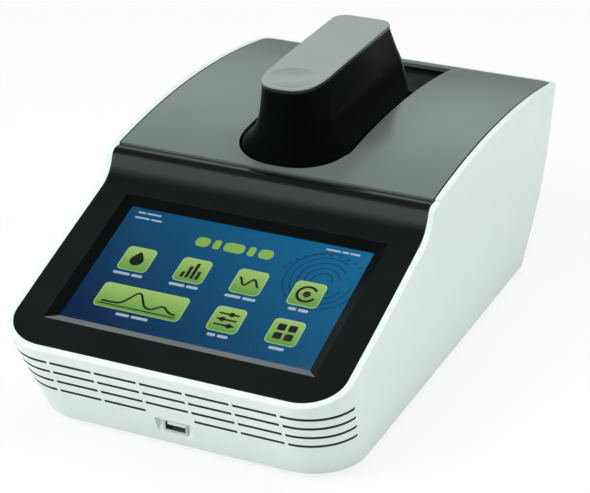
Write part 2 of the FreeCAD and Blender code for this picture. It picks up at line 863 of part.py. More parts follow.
def front_panel():
    """Black gloss panel with a bevelled window, a step and a shoulder, and four screw bosses below."""
    reach = g.base_length
    edge = crease_y() - g.joint_gap / 2
    panel = panel_skin().common(span_block((-reach, -reach, 0), (reach, edge, reach)))
    end = g.window_start + g.window_length
    depth = g.panel_drop + g.panel_back_shift
    rate = g.window_bevel / g.panel_drop
    narrow = rate * depth
    wide = -rate * g.stack_gap
    mouth = flat_rectangle(g.window_half_width - wide, g.window_start + wide, end - wide, g.stack_gap)
    foot = flat_rectangle(g.window_half_width - narrow, g.window_start + narrow, end - narrow, -depth)
    panel = panel.cut(on_panel(Part.makeLoft([mouth, foot], True, True)))
    bosses = []
    for x, y in boss_spots():
        length = frame_depth() - g.panel_drop / 2
        boss = Part.makeCylinder(g.display_boss_radius, length, Vector(x, y, -frame_depth()))
        bore = Part.makeCylinder(g.boss_bore, length * 0.7, Vector(x, y, -frame_depth()))
        bosses.append(on_panel(boss.cut(bore)))
    panel = panel.fuse(bosses).removeSplitter()
    return shaped("front_panel", max(panel.Solids, key=lambda solid: solid.Volume))


# Deck slot, tray and arm share these plan outlines


def round_end(half_width, front, length, power, height):
    """Edge of a blunt rounded end: a superellipse of the given power, sampled as one smooth curve."""
    points = []
    for step in range(13):
        turn = math.pi * step / 12
        across = math.copysign(abs(math.cos(turn)) ** (2 / power), math.cos(turn))
        ahead = math.sin(turn) ** (2 / power)
        points.append(Vector(-half_width * across, front + length * (1 - ahead), height))
    curve = Part.BSplineCurve()
    curve.interpolate(Points=points, InitialTangent=Vector(0, -1, 0), FinalTangent=Vector(0, 1, 0))
    return curve.toShape()


def slot_outline(offset, height):
    """Plan of the deck slot: a rounded front end, straight sides and a square rear end."""
    half = g.skirt_half_width + g.slot_clearance + offset
    front = g.arm_front_y - g.slot_clearance - offset
    length = g.arm_end_length
    rear = g.slot_rear_y + offset
    corners = [
        Vector(half, front + length, height),
        Vector(half, rear, height),
        Vector(-half, rear, height),
        Vector(-half, front + length, height),
    ]
    edges = [round_end(half, front, length, g.arm_end_shape, height)]
    edges += [Part.makeLine(a, b) for a, b in zip(corners, corners[1:])]
    return Part.Wire(edges)


def slot_block(offset, low, high):
    return Part.Face(slot_outline(offset, low)).extrude(Vector(0, 0, high - low))


def deck_cover():
    """Grey gloss deck, a shallow crown with the long slot for the arm."""
    reach = g.base_length
    edge = crease_y() + g.joint_gap / 2
    deck = panel_skin().common(span_block((-reach, edge, 0), (reach, reach, reach)))
    deck = deck.cut(slot_block(0, g.tray_floor, 2 * g.crown_height))
    return shaped("deck_cover", max(deck.Solids, key=lambda solid: solid.Volume))


def sample_tray():
    """Black tray that lines the slot under the deck, with the hinge opening and four legs."""
    top = 2 * g.crown_height
    under_deck = roof_block(g.panel_back_shift, g.panel_drop + g.joint_gap)
    tray = slot_block(g.tray_wall, g.tray_floor, top).common(under_deck)
    floor_top = g.tray_floor + g.tray_floor_thickness
    tray = tray.cut(slot_block(0, floor_top, top))
    half = g.skirt_half_width + g.slot_clearance + g.tray_wall
    shelf_low = (-half + g.tray_wall / 2, g.tray_shelf_y, g.tray_floor)
    shelf_high = (half - g.tray_wall / 2, g.slot_rear_y + g.tray_wall / 2, g.tray_shelf_height)
    additions = [span_block(shelf_low, shelf_high)]
    platform_top = g.platform_height + g.platform_thickness
    for x in (-g.tray_leg_side, g.tray_leg_side):
        for y in (g.tray_leg_front_y, g.tray_leg_rear_y):
            leg_height = g.tray_floor - platform_top
            additions.append(Part.makeCylinder(g.tray_leg_radius, leg_height, Vector(x, y, platform_top)))
    tray = tray.fuse(additions)
    half = g.tray_hinge_half_width
    low = (-half, g.ear_stem_front_y - g.tray_hinge_margin, g.tray_floor - 1)
    high = (half, g.ear_stem_rear_y + g.tray_hinge_margin, floor_top + 1)
    hole_base = Vector(0, g.arm_front_y + g.pedestal_setback, g.tray_floor - 1)
    hole = Part.makeCylinder(g.tray_pedestal_hole, g.tray_floor_thickness + 2, hole_base)
    tray = tray.cut(Part.makeCompound([span_block(low, high), hole])).removeSplitter()
    return shaped("sample_tray", max(tray.Solids, key=lambda solid: solid.Volume))


def arm_rear(height):
    """Rear limit of the arm: round about the hinge below, leaning forward above."""
    slope = math.radians(g.arm_rear_slope)
    tangent_height = g.hinge_height + g.knuckle_radius * math.sin(slope)
    if height > tangent_height:
        tangent_y = g.hinge_y + g.knuckle_radius * math.cos(slope)
        return tangent_y - (height - tangent_height) * math.tan(slope)
    square = g.knuckle_radius ** 2 - (height - g.hinge_height) ** 2
    eased = (square + math.hypot(square, g.knuckle_ease ** 2)) / 2
    return g.hinge_y + math.sqrt(eased)


def rear_edges(half, front, rear, corner, height):
    """Straight sides back from the front end, two round corners and the straight rear."""
    ry = rear - corner
    rx = half - corner
    bend = corner * math.sqrt(0.5)
    right = (Vector(half, ry, height), Vector(rx + bend, ry + bend, height), Vector(rx, rear, height))
    left = (Vector(-rx, rear, height), Vector(-rx - bend, ry + bend, height), Vector(-half, ry, height))
    return [
        Part.makeLine(Vector(half, front, height), right[0]),
        Part.Arc(*right).toShape(),
        Part.makeLine(right[2], left[0]),
        Part.Arc(*left).toShape(),
        Part.makeLine(left[2], Vector(-half, front, height)),
    ]


def arm_outline(height, inset, drawn_at):
    """Plan of the arm at a height: the skirt flares out below by a decaying exponential."""
    above = g.flare_ease * math.log1p(math.exp((height - g.skirt_height) / g.flare_ease))
    flare = math.exp(-above / g.flare_height)
    rise = (height - g.arm_bottom) / (g.arm_top_height - g.arm_bottom)
    half = g.arm_half_width + (g.skirt_half_width - g.arm_half_width) * flare - inset
    front = g.arm_front_y + (height - g.arm_bottom) * g.arm_front_slope + inset
    length = g.arm_end_length + (g.arm_top_end_length - g.arm_end_length) * rise - inset
    power = g.arm_end_shape + (g.arm_top_end_shape - g.arm_end_shape) * rise
    corner = g.arm_rear_corner + (g.skirt_rear_corner - g.arm_rear_corner) * flare - inset
    rear = arm_rear(height) - inset
    fy = front + length
    rim = [round_end(half, front, length, power, drawn_at)]
    return Part.Wire(rim + rear_edges(half, fy, rear, corner, drawn_at))


def arm_levels():
    """Heights of the plan sections, closer together where the skirt flares and the knuckle turns."""
    skirt = g.skirt_height
    knuckle = g.hinge_height
    middle = knuckle + g.knuckle_radius
    top = g.arm_top_height + g.arm_wall
    heights = [g.arm_bottom + (skirt - g.arm_bottom) * share for share in (0, 0.45, 0.85)]
    heights += [skirt + (knuckle - skirt) * share for share in (0.16, 0.42, 0.72)]
    heights += [knuckle + (middle - knuckle) * share for share in (0.05, 0.45, 0.95)]
    heights += [middle + (top - middle) * share for share in (0.25, 0.5, 0.75, 1)]
    return heights


def arm_block(inset):
    outlines = [arm_outline(height, inset, height) for height in arm_levels()]
    return Part.makeLoft(outlines, True, False)


def arm_roof(drop):
    """Everything under the arm's top line, an easy arc that falls towards the front, lowered."""
    front = g.arm_front_y
    middle = (front + g.cap_rear_y) / 2
    high = g.arm_top_height - drop
    start = Vector(0, front, high - g.arm_front_fall)
    crest = Vector(0, middle, high - g.arm_front_fall / 4)
    finish = Vector(0, g.cap_rear_y, high)
    far = Vector(0, g.cap_rear_y + g.arm_end_length, high)
    low = g.arm_bottom - g.arm_wall
    edges = [
        Part.Arc(start, crest, finish).toShape(),
        Part.makeLine(finish, far),
        Part.makeLine(far, Vector(0, far.y, low)),
        Part.makeLine(Vector(0, far.y, low), Vector(0, front, low)),
        Part.makeLine(Vector(0, front, low), start),
    ]
    half = 2 * g.skirt_half_width
    solid = Part.Face(Part.Wire(edges)).extrude(Vector(2 * half, 0, 0))
    solid.translate(Vector(-half, 0, 0))
    return solid


def frame_boss_spots():
    pedestal_y = g.arm_front_y + g.pedestal_setback
    yield g.frame_boss_side, pedestal_y + g.frame_boss_front
    yield -g.frame_boss_side, pedestal_y + g.frame_boss_rear


def arm_shell():
    """Black gloss arm moulding: flared skirt, leaning front, round knuckle, and bosses for the frame."""
    outer = arm_block(0).common(arm_roof(g.cap_thickness + g.joint_gap / 2))
    inner = arm_block(g.arm_wall).common(arm_roof(g.cap_thickness + g.arm_wall))
    shell = outer.cut(inner)
    bosses = []
    for x, y in frame_boss_spots():
        length = g.arm_top_height - g.cap_thickness - g.arm_wall / 2 - g.arm_front_fall - g.frame_top
        bosses.append(Part.makeCylinder(g.frame_boss_radius, length, Vector(x, y, g.frame_top)))
    shell = shell.fuse(bosses)
    half = g.knuckle_notch_half_width
    low = (-half, g.ear_stem_rear_y, g.arm_bottom - 1)
    high = (half, g.hinge_y + 2 * g.knuckle_radius, g.knuckle_notch_top)
    tools = [span_block(low, high)]
    for x, y in frame_boss_spots():
        tools.append(Part.makeCylinder(g.boss_bore, g.screw_length - 2, Vector(x, y, g.frame_top)))
    shell = shell.cut(Part.makeCompound(tools))
    return shaped("arm_shell", max(shell.Solids, key=lambda solid: solid.Volume))


def arm_cap():
    """Light grey lid of the arm, just proud of it all round, with a shallow finger dimple."""
    top = g.arm_top_height
    half = g.arm_half_width + g.cap_overhang
    slope_run = (top - g.cap_thickness - g.arm_bottom) * g.arm_front_slope
    front = g.arm_front_y + slope_run - g.cap_overhang
    length = g.arm_top_end_length
    low = top - 2 * g.cap_thickness - g.arm_front_fall
    edges = [round_end(half, front, length, g.arm_top_end_shape, low)]
    edges += rear_edges(half, front + length, g.cap_rear_y, g.arm_rear_corner, low)
    lid = Part.Face(Part.Wire(edges)).extrude(Vector(0, 0, top - low + 1))
    lid = lid.common(arm_roof(0)).Solids[0]
    lid = lid.makeFillet(g.cap_round, rim_edges(lid, top - 2 * g.arm_front_fall))
    lid = lid.cut(arm_roof(g.cap_thickness))
    ball_radius = (g.dimple_radius ** 2 + g.dimple_depth ** 2) / (2 * g.dimple_depth)
    ball_y = front + g.dimple_from_front
    ball_height = top - g.arm_front_fall + ball_radius - g.dimple_depth / 2
    lid = lid.cut(Part.makeSphere(ball_radius, Vector(0, ball_y, ball_height)))
    return shaped("arm_cap", max(lid.Solids, key=lambda solid: solid.Volume))


def base_cover():
    """Flat cover that closes the case below, with a clear hole under each boss."""
    top = g.foot_height + g.cover_thickness
    reach = g.base_length
    cover = case_block(g.wall + g.joint_gap).common(span_block((-reach, -reach, 0), (reach, reach, top)))
    holes = []
    for side, y in boss_places():
        hole_base = Vector(side * g.boss_side, y, 0)
        holes.append(Part.makeCylinder(g.boss_bore + g.joint_gap, 2 * top, hole_base))
    return shaped("base_cover", cover.cut(Part.makeCompound(holes)).Solids[0])


upper_case()
front_panel()
deck_cover()
sample_tray()
arm_shell()
arm_cap()
base_cover()


def rubber_feet():
    feet = []
    for side in (-1, 1):
        for y in ("front_foot_y + foot_front_inset", f"{REAR_FOOT_Y} - foot_rear_inset"):
            feet.append(rod("foot_radius", "foot_height", (f"{side} * foot_side", y, "0")))
    group("rubber_feet", feet)


def pan_screw(x, y, head_bottom):
    """Pan-head screw that points up: its head below, its shank into a boss."""
    head = rod("screw_head_radius", "screw_head_height", (x, y, head_bottom))
    shank_bottom = f"{head_bottom} + screw_head_height / 2"
    return joined([head, rod("screw_radius", "screw_length", (x, y, shank_bottom))])


def base_screws():
    screws = []
    for side in (-1, 1):
        for step in range(3):
            y = f"front_foot_y + boss_first + {step} * boss_pitch"
            screws.append(pan_screw(f"{side} * boss_side", y, "foot_height - screw_head_height"))
    group("base_screws", screws)


rubber_feet()
base_screws()


# Display stack: every layer lies parallel to the tilted panel

PANEL_ORIGIN_Y = "(front_foot_y - (front_edge_height - foot_height) * tan(front_lean * 1deg) + wall)"
PANEL_ORIGIN_Z = "(front_edge_height + wall * tan(panel_tilt * 1deg))"
GLASS_TOP = "(panel_drop * cos(panel_tilt * 1deg) + panel_back_shift * sin(panel_tilt * 1deg) + stack_gap)"
DISPLAY_TOP = f"({GLASS_TOP} + glass_thickness + stack_gap)"
FRAME_TOP = f"({DISPLAY_TOP} + display_thickness + stack_gap)"
FRAME_BOTTOM = f"({FRAME_TOP} + display_frame_thickness)"
PANEL_BOARD_TOP = f"({FRAME_BOTTOM} + display_spacer_length)"
WINDOW_MIDDLE = "(window_start + window_length / 2)"


def panel_point(across, up, depth):
    """A point given across and up the tilted panel and down under its face."""
    y = f"{PANEL_ORIGIN_Y} + ({up}) * cos(panel_tilt * 1deg) + ({depth}) * sin(panel_tilt * 1deg)"
    z = f"{PANEL_ORIGIN_Z} + ({up}) * sin(panel_tilt * 1deg) - ({depth}) * cos(panel_tilt * 1deg)"
    return across, y, z


def layer(label, half_width, start, end, top, thickness, holes=()):
    """A flat layer under the panel, drawn in the panel's own plane and padded towards its face."""
    body = new_body()
    loops = [rectangle(f"-({half_width})", start, half_width, end)]
    pad(body, "XY_Plane", loops + list(holes), thickness)
    place(body, panel_point("0", "0", f"{top} + {thickness}"), (1, 0, 0), "panel_tilt")
    return named(body, label)


def panel_rod(radius, length, across, up, depth):
    piece = rod(radius, length, ("0", "0", "0"))
    return place(piece, panel_point(across, up, depth), (1, 0, 0), "panel_tilt")


FRAME_HALF = "(window_half_width + display_frame_margin)"
FRAME_START = "(window_start - display_frame_margin)"
FRAME_END = "(window_start + window_length + display_frame_margin)"


def frame_hole_places():
    for side in (-1, 1):
        for up in (f"{FRAME_START} + display_boss_inset", f"{FRAME_END} - display_boss_inset"):
            yield f"{side} * ({FRAME_HALF} - display_boss_inset)", up


def display_stack():
    half = "window_half_width - glass_margin"
    start = "window_start + glass_margin"
    end = "window_start + window_length - glass_margin"
    layer("touch_glass", half, start, end, GLASS_TOP, "glass_thickness")
    half = "window_half_width - glass_margin - display_inset"
    start = "window_start + glass_margin + display_inset"
    end = "window_start + window_length - glass_margin - display_inset"
    layer("display_panel", half, start, end, DISPLAY_TOP, "display_thickness")
    holes = [("circle", x, up, "screw_radius + running_gap") for x, up in frame_hole_places()]
    layer("display_frame", FRAME_HALF, FRAME_START, FRAME_END, FRAME_TOP, "display_frame_thickness", holes)
    start = f"{WINDOW_MIDDLE} - display_board_length / 2"
    end = f"{WINDOW_MIDDLE} + display_board_length / 2"
    layer("display_board", "display_board_width / 2", start, end, PANEL_BOARD_TOP, "board_thickness")
    spacers = []
    screws = []
    for side in (-1, 1):
        across = f"{side} * (display_board_width / 2 - board_hole_inset)"
        for end in (-1, 1):
            up = f"{WINDOW_MIDDLE} + {end} * (display_board_length / 2 - board_hole_inset)"
            size = ("display_spacer_radius", "display_spacer_length")
            spacers.append(panel_rod(*size, across, up, PANEL_BOARD_TOP))
    for across, up in frame_hole_places():
        head_depth = f"{FRAME_BOTTOM} + screw_head_height"
        head = panel_rod("screw_head_radius", "screw_head_height", across, up, head_depth)
        shank_depth = f"{FRAME_BOTTOM} + screw_head_height / 2"
        shank = panel_rod("screw_radius", "screw_length / 2", across, up, shank_depth)
        screws.append(joined([head, shank]))
    group("display_spacers", spacers)
    group("display_screws", screws)


display_stack()


# Front port: folded metal shell, plastic tongue and its small board on two standoffs


def metal_port(label, width, height, length, wall, side, front_y, middle_z, lip=None):
    """An open-ended rectangular metal shell that runs back from its mouth."""
    body = new_body()
    outer = rectangle(f"-({width}) / 2", f"-({height}) / 2", f"({width}) / 2", f"({height}) / 2")
    inner_x = f"(({width}) / 2 - {wall})"
    inner_z = f"(({height}) / 2 - {wall})"
    inner = rectangle(f"-{inner_x}", f"-{inner_z}", inner_x, inner_z)
    pad(body, "XZ_Plane", [outer, inner], length, backwards=True)
    if lip:
        edge_x = f"(({width}) / 2 + {lip})"
        edge_z = f"(({height}) / 2 + {lip})"
        edge = rectangle(f"-{edge_x}", f"-{edge_z}", edge_x, edge_z)
        pad(body, "XZ_Plane", [edge, inner], wall, backwards=True)
    place(body, (side, front_y, middle_z))
    return named(body, label)


PORT_FRONT = "(front_foot_y - port_recess_setback - port_proud)"
PORT_BOARD_TOP = "(port_centre_height - port_height / 2)"


def front_port():
    port = ("port_width", "port_height", "port_length", "port_metal")
    metal_port("front_port_shell", *port, "0", PORT_FRONT, "port_centre_height", lip="port_lip")
    size = ("tongue_width", "tongue_length", "tongue_thickness")
    tongue_y = f"{PORT_FRONT} + port_length - tongue_length"
    at = ("-tongue_width / 2", tongue_y, "port_centre_height + tongue_rise - tongue_thickness / 2")
    wall_width = "(port_width - 2 * port_metal - 2 * running_gap)"
    wall_height = "(port_height - 2 * port_metal - 2 * running_gap)"
    wall_y = f"{PORT_FRONT} + port_length - port_back_wall"
    wall_at = (f"-{wall_width} / 2", wall_y, f"port_centre_height - {wall_height} / 2")
    wall = block((wall_width, "port_back_wall", wall_height), wall_at)
    named(joined([block(size, at), wall]), "front_port_tongue")
    board_y = "(front_foot_y - port_recess_setback + port_block_depth + joint_gap)"
    board_size = ("port_board_width", "port_board_length", "board_thickness")
    board = block(board_size, ("-port_board_width / 2", board_y, f"{PORT_BOARD_TOP} - board_thickness"))
    named(board, "front_port_board")
    legs = []
    leg_length = f"{PORT_BOARD_TOP} - board_thickness - {COVER_TOP}"
    for side in (-1, 1):
        across = f"{side} * (port_board_width / 2 - port_hole_inset)"
        for inset in ("port_hole_inset", "port_board_length - port_hole_inset"):
            legs.append(rod("standoff_radius", leg_length, (across, f"{board_y} + {inset}", COVER_TOP)))
    return legs


port_legs = front_port()


# Chassis plate, main board and the connector board


def chassis():
    rows = rectangle("-chassis_half_width", "chassis_front_y", "chassis_half_width", "chassis_rear_y")
    plate("chassis_plate", [rows], "chassis_thickness", "chassis_height")
    posts = []
    for side in (-1, 1):
        for y in ("chassis_front_y + post_inset", "chassis_rear_y - post_inset"):
            at = (f"{side} * (chassis_half_width - post_inset)", y, COVER_TOP)
            posts.append(rod("post_radius", f"chassis_height - {COVER_TOP}", at))
    group("chassis_posts", posts)


def boards(legs):
    half = "main_board_half_width"
    outline = rectangle(f"-{half}", "main_board_front_y", half, "main_board_rear_y")
    plate("main_board", [outline], "board_thickness", BOARD_BOTTOM)
    io_front = f"({REAR_PLATE_FRONT} - io_board_depth - joint_gap)"
    io_rear = f"({REAR_PLATE_FRONT} - joint_gap)"
    low = "io_board_side - io_board_half_width"
    high = "io_board_side + io_board_half_width"
    plate("connector_board", [rectangle(low, io_front, high, io_rear)], "board_thickness", BOARD_BOTTOM)
    for side in (-1, 1):
        for y in ("main_board_front_y + board_hole_inset", "main_board_rear_y - board_hole_inset"):
            at = (f"{side} * (main_board_half_width - board_hole_inset)", y, COVER_TOP)
            legs.append(rod("standoff_radius", "standoff_height", at))
        for y in (f"{io_front} + board_hole_inset", f"{io_rear} - board_hole_inset"):
            at = (f"io_board_side + {side} * (io_board_half_width - board_hole_inset)", y, COVER_TOP)
            legs.append(rod("standoff_radius", "standoff_height", at))
    group("board_standoffs", legs)


def heatsink():
    """Finned cooler on the main board's processor."""
    body = new_body()
    half = "heatsink_width / 2"
    base = rectangle(f"-{half}", "0", half, "heatsink_base")
    pad(body, "XZ_Plane", [base], "heatsink_width", midplane=True)
    for step in range(-3, 4):
        low = f"{step} * heatsink_pitch - heatsink_fin / 2"
        high = f"{step} * heatsink_pitch + heatsink_fin / 2"
        fin = rectangle(low, "heatsink_base / 2", high, "heatsink_height")
        pad(body, "XZ_Plane", [fin], "heatsink_width", midplane=True)
    named(place(body, ("0", "(main_board_front_y + main_board_rear_y) / 2", BOARD_TOP)), "processor_cooler")


chassis()
boards(port_legs)
heatsink()


# Rear plate with the fan grille, the ports and the switch


SWITCH_HALF_X = "(switch_width / 2)"
SWITCH_HALF_Z = "(switch_tall / 2)"
REAR_PORT_HEIGHT = f"({BOARD_TOP} + rear_port_height / 2)"
INLET_HEIGHT = f"({BOARD_TOP} + inlet_height / 2)"


def rear_plate():
    body = new_body()
    half = "(recess_half_width + recess_wall - joint_gap)"
    low = "recess_bottom - recess_wall / 2"
    high = "recess_top + recess_wall - joint_gap"
    holes = [
        rectangle(
            f"switch_side - {SWITCH_HALF_X} - joint_gap / 2",
            f"switch_height - {SWITCH_HALF_Z} - joint_gap / 2",
            f"switch_side + {SWITCH_HALF_X} + joint_gap / 2",
            f"switch_height + {SWITCH_HALF_Z} + joint_gap / 2",
        ),
        rectangle(
            "rear_port_side - rear_port_width / 2 - joint_gap",
            f"{REAR_PORT_HEIGHT} - rear_port_height / 2 - joint_gap",
            "rear_port_side + rear_port_width / 2 + joint_gap",
            f"{REAR_PORT_HEIGHT} + rear_port_height / 2 + joint_gap",
        ),
        ("circle", "inlet_side", INLET_HEIGHT, "inlet_bore + joint_gap"),
    ]
    pad(body, "XZ_Plane", [rectangle(f"-{half}", low, half, high)] + holes, "rear_plate_thickness")
    slots = []
    for step in range(-3, 4):
        x = f"fan_side + {step} * grille_pitch"
        reach = f"sqrt(grille_radius ^ 2 - ({step} * grille_pitch) ^ 2)"
        low = (f"{x} - grille_slot / 2", f"fan_height - {reach}")
        high = (f"{x} + grille_slot / 2", f"fan_height + {reach}")
        slots.append(rectangle(*low, *high))
    pocket(body, "XZ_Plane", slots, "rear_plate_thickness * 3")
    named(place(body, ("0", "recess_rear_y", "0")), "rear_plate")


def cooling_fan():
    """Square frame with a round duct and three struts that hold the motor seat, and a bladed rotor."""
    body = new_body()
    half = "fan_size / 2"
    loops = [rectangle(f"-{half}", f"-{half}", half, half), ("circle", "0", "0", "fan_bore")]
    for x in (-1, 1):
        for z in (-1, 1):
            spot = (f"{x} * fan_screw_spacing / 2", f"{z} * fan_screw_spacing / 2")
            loops.append(("circle", *spot, "screw_radius + joint_gap"))
    pad(body, "XZ_Plane", loops, "fan_thickness")
    seat = ("circle", "0", "0", "fan_hub_radius")
    strut_half = "fan_blade_thickness"
    strut_reach = "(fan_bore + joint_gap)"
    level = rectangle(f"-{strut_reach}", f"-{strut_half}", strut_reach, strut_half)
    upright = rectangle(f"-{strut_half}", f"-{strut_reach}", strut_half, strut_reach)
    for loop in (seat, level, upright):
        pad(body, "XZ_Plane", [loop], "fan_blade_thickness")
    frame_y = f"{REAR_PLATE_FRONT} - fan_thickness - joint_gap"
    named(place(body, ("fan_side", frame_y, "fan_height"), (0, 0, 1), "180"), "fan_frame")
    hub_length = "(fan_thickness - fan_blade_thickness - 4 * joint_gap)"
    hub_y = f"{REAR_PLATE_FRONT} - fan_thickness - joint_gap + fan_blade_thickness + joint_gap"
    hub = rod("fan_hub_radius", hub_length, ("fan_side", hub_y, "fan_height"), "Y")
    blades = []
    for step in range(round(g.fan_blades)):
        blade = doc.addObject("Part::Box", "Blade")
        bind(blade, "Length", "fan_blade_thickness")
        bind(blade, "Width", f"{hub_length} - 2 * fan_blade_inset")
        bind(blade, "Height", "fan_rotor_radius")
        turn = FreeCAD.Rotation(Vector(0, 1, 0), 360 / round(g.fan_blades) * step)
        pitch = FreeCAD.Rotation(Vector(0, 0, 1), g.fan_blade_pitch)
        lean = blade.Placement
        lean.Rotation = turn.multiply(pitch)
        blade.Placement = lean
        for letter, text in zip("xyz", ("fan_side", f"{hub_y} + fan_blade_inset", "fan_height")):
            bind(blade, f"Placement.Base.{letter}", text)
        blades.append(blade)
    disc = rod("fan_rotor_radius", hub_length, ("fan_side", hub_y, "fan_height"), "Y")
    trimmed = doc.addObject("Part::MultiCommon", "Trimmed")
    trimmed.Shapes = [joined(blades), disc]
    named(joined([hub, trimmed]), "fan_rotor")


def rear_ports():
    port = ("rear_port_width", "rear_port_height", "rear_port_length", "port_metal")
    front_y = "recess_rear_y - rear_port_length"
    metal_port("rear_port_shell", *port, "rear_port_side", front_y, REAR_PORT_HEIGHT)
    tongue_z = f"{REAR_PORT_HEIGHT} - rear_tongue_thickness / 2"
    at = ("rear_port_side - rear_tongue_width / 2", f"{front_y} + port_metal", tongue_z)
    tongue = block(("rear_tongue_width", "rear_tongue_length", "rear_tongue_thickness"), at)
    back_x = "(rear_port_width / 2 - port_metal - running_gap)"
    back_z = "(rear_port_height / 2 - port_metal - running_gap)"
    back_at = (f"rear_port_side - {back_x}", f"{front_y} + port_metal", f"{REAR_PORT_HEIGHT} - {back_z}")
    back = block((f"2 * {back_x}", "port_back_wall", f"2 * {back_z}"), back_at)
    named(joined([tongue, back]), "rear_port_tongue")
    body_y = f"{REAR_PLATE_FRONT} - inlet_length"
    outer_size = ("inlet_width", "inlet_length - joint_gap", "inlet_height")
    outer = block(outer_size, ("inlet_side - inlet_width / 2", body_y, BOARD_TOP))
    nose_start = f"{REAR_PLATE_FRONT} - 2 * joint_gap"
    nose_length = "rear_plate_thickness + 2 * joint_gap"
    nose = rod("inlet_bore", nose_length, ("inlet_side", nose_start, INLET_HEIGHT), "Y")
    hollow_y = "recess_rear_y - inlet_depth"
    hollow_radius = "inlet_bore - inlet_barrel_wall"
    hollow = rod(hollow_radius, "inlet_depth * 2", ("inlet_side", hollow_y, INLET_HEIGHT), "Y")
    named(less(joined([outer, nose]), [hollow]), "power_inlet")
    pin_length = "inlet_depth - inlet_pin_setback"
    pin = rod("inlet_pin_radius", pin_length, ("inlet_side", hollow_y, INLET_HEIGHT), "Y")
    named(pin, "inlet_pin")


def power_switch():
    """Rocker switch: a rimmed housing clipped into the rear plate, and the rocker on its pivots."""
    rim_x = f"({SWITCH_HALF_X} + switch_rim)"
    rim_z = f"({SWITCH_HALF_Z} + switch_rim)"
    well_x = f"({SWITCH_HALF_X} - switch_wall)"
    well_z = f"({SWITCH_HALF_Z} - switch_wall)"
    body = new_body()
    front = [rectangle(f"-{SWITCH_HALF_X}", f"-{SWITCH_HALF_Z}", SWITCH_HALF_X, SWITCH_HALF_Z)]
    pad(body, "XZ_Plane", front, "switch_depth")
    pad(body, "XZ_Plane", [rectangle(f"-{rim_x}", f"-{rim_z}", rim_x, rim_z)], "switch_rim", backwards=True)
    well = [rectangle(f"-{well_x}", f"-{well_z}", well_x, well_z)]
    pocket(body, "XZ_Plane", well, "(switch_depth - switch_wall * 2) * 2")
    seats = ("circle", "0", "0", "rocker_pivot_radius + running_gap")
    pocket(body, "YZ_Plane", [seats], "switch_width - switch_wall")
    named(place(body, ("switch_side", "recess_rear_y", "switch_height")), "switch_housing")
    half_x = f"({well_x} - rocker_gap / 2)"
    half_z = f"({well_z} - rocker_gap)"
    edge = f"({half_z} - rocker_draft)"
    crest = "(rocker_depth / 2)"
    brow = f"{crest} + {half_z} * sin(rocker_tilt * 1deg)"
    key = new_body()
    outline = [
        ("-rocker_depth / 2", f"-{edge}"),
        (brow, f"-{edge}"),
        (crest, "0"),
        (brow, edge),
        ("-rocker_depth / 2", edge),
    ]
    pad(key, "YZ_Plane", [outline], f"2 * {half_x}", midplane=True)
    pivots = ("circle", "0", "0", "rocker_pivot_radius")
    pad(key, "YZ_Plane", [pivots], f"2 * ({well_x} + rocker_pivot_reach)", midplane=True)
    at = ("switch_side", "recess_rear_y", "switch_height")
    named(place(key, at, (1, 0, 0), "-rocker_tilt"), "power_rocker")


rear_plate()
cooling_fan()
rear_ports()
power_switch()


# Arm platform on its four posts, the hinge bracket, and the frame and pin that turn in it


def platform():
    outline = rectangle("-platform_half_width", "platform_front_y", "platform_half_width", "platform_rear_y")
    bush_hole = ("circle", "0", PEDESTAL_Y, "guide_bush_radius + press_gap")
    plate("arm_platform", [outline, bush_hole], "platform_thickness", "platform_height")
    posts = []
    for side in (-1, 1):
        for y in ("platform_front_y + platform_post_inset", "platform_rear_y - platform_post_inset"):
            at = (f"{side} * (platform_half_width - platform_post_inset)", y, CHASSIS_TOP)
            posts.append(rod("post_radius", f"platform_height - {CHASSIS_TOP}", at))
    group("platform_posts", posts)


def hinge_bracket():
    """Machined bracket: a foot on the platform and two ears that reach back to the hinge axis."""
    body = new_body()
    profile = [
        ("bracket_front_y", PLATFORM_TOP),
        ("bracket_rear_y", PLATFORM_TOP),
        ("bracket_rear_y", f"{PLATFORM_TOP} + bracket_base"),
        ("ear_stem_rear_y", f"{PLATFORM_TOP} + bracket_base"),
        ("ear_stem_rear_y", "hinge_height - ear_radius / 2"),
        ("hinge_y", "hinge_height - ear_radius"),
        ("hinge_y", "hinge_height + ear_radius"),
        ("ear_stem_rear_y", "hinge_height + ear_radius"),
        ("ear_stem_front_y", "hinge_height - ear_radius / 2"),
        ("ear_stem_front_y", f"{PLATFORM_TOP} + bracket_base"),
        ("bracket_front_y", f"{PLATFORM_TOP} + bracket_base"),
    ]
    pad(body, "YZ_Plane", [profile], "ear_outer * 2", midplane=True)
    ear = ("circle", "hinge_y", "hinge_height", "ear_radius")
    pad(body, "YZ_Plane", [ear], "ear_outer * 2", midplane=True)
    gap_low = ("bracket_front_y - 1", f"{PLATFORM_TOP} + bracket_base")
    gap = rectangle(*gap_low, "hinge_y + 2 * ear_radius", "arm_top_height")
    pocket(body, "YZ_Plane", [gap], "ear_inner * 2")
    bore = ("circle", "hinge_y", "hinge_height", "bush_radius + press_gap")
    pocket(body, "YZ_Plane", [bore], "ear_outer * 2 + 2")
    named(body, "hinge_bracket")


def hinge_bushes():
    bushes = []
    for side in (-1, 1):
        inner = "pin_radius + running_gap"
        flange_face = "ear_inner - bush_flange"
        outline = [
            (inner, flange_face),
            ("bush_flange_radius", flange_face),
            ("bush_flange_radius", "ear_inner"),
            ("bush_radius", "ear_inner"),
            ("bush_radius", "ear_outer"),
            (inner, "ear_outer"),
        ]
        bush = turned(None, outline, ("0", "hinge_y", "hinge_height"), "X")
        if side < 0:
            place(bush, ("0", "hinge_y", "hinge_height"), (0, 1, 0), "-90")
        bushes.append(bush)
    group("hinge_bushes", bushes)


def hinge_pin():
    half = "(ear_outer + pin_overhang)"
    named(rod("pin_radius", f"2 * {half}", (f"-{half}", "hinge_y", "hinge_height"), "X"), "hinge_pin")


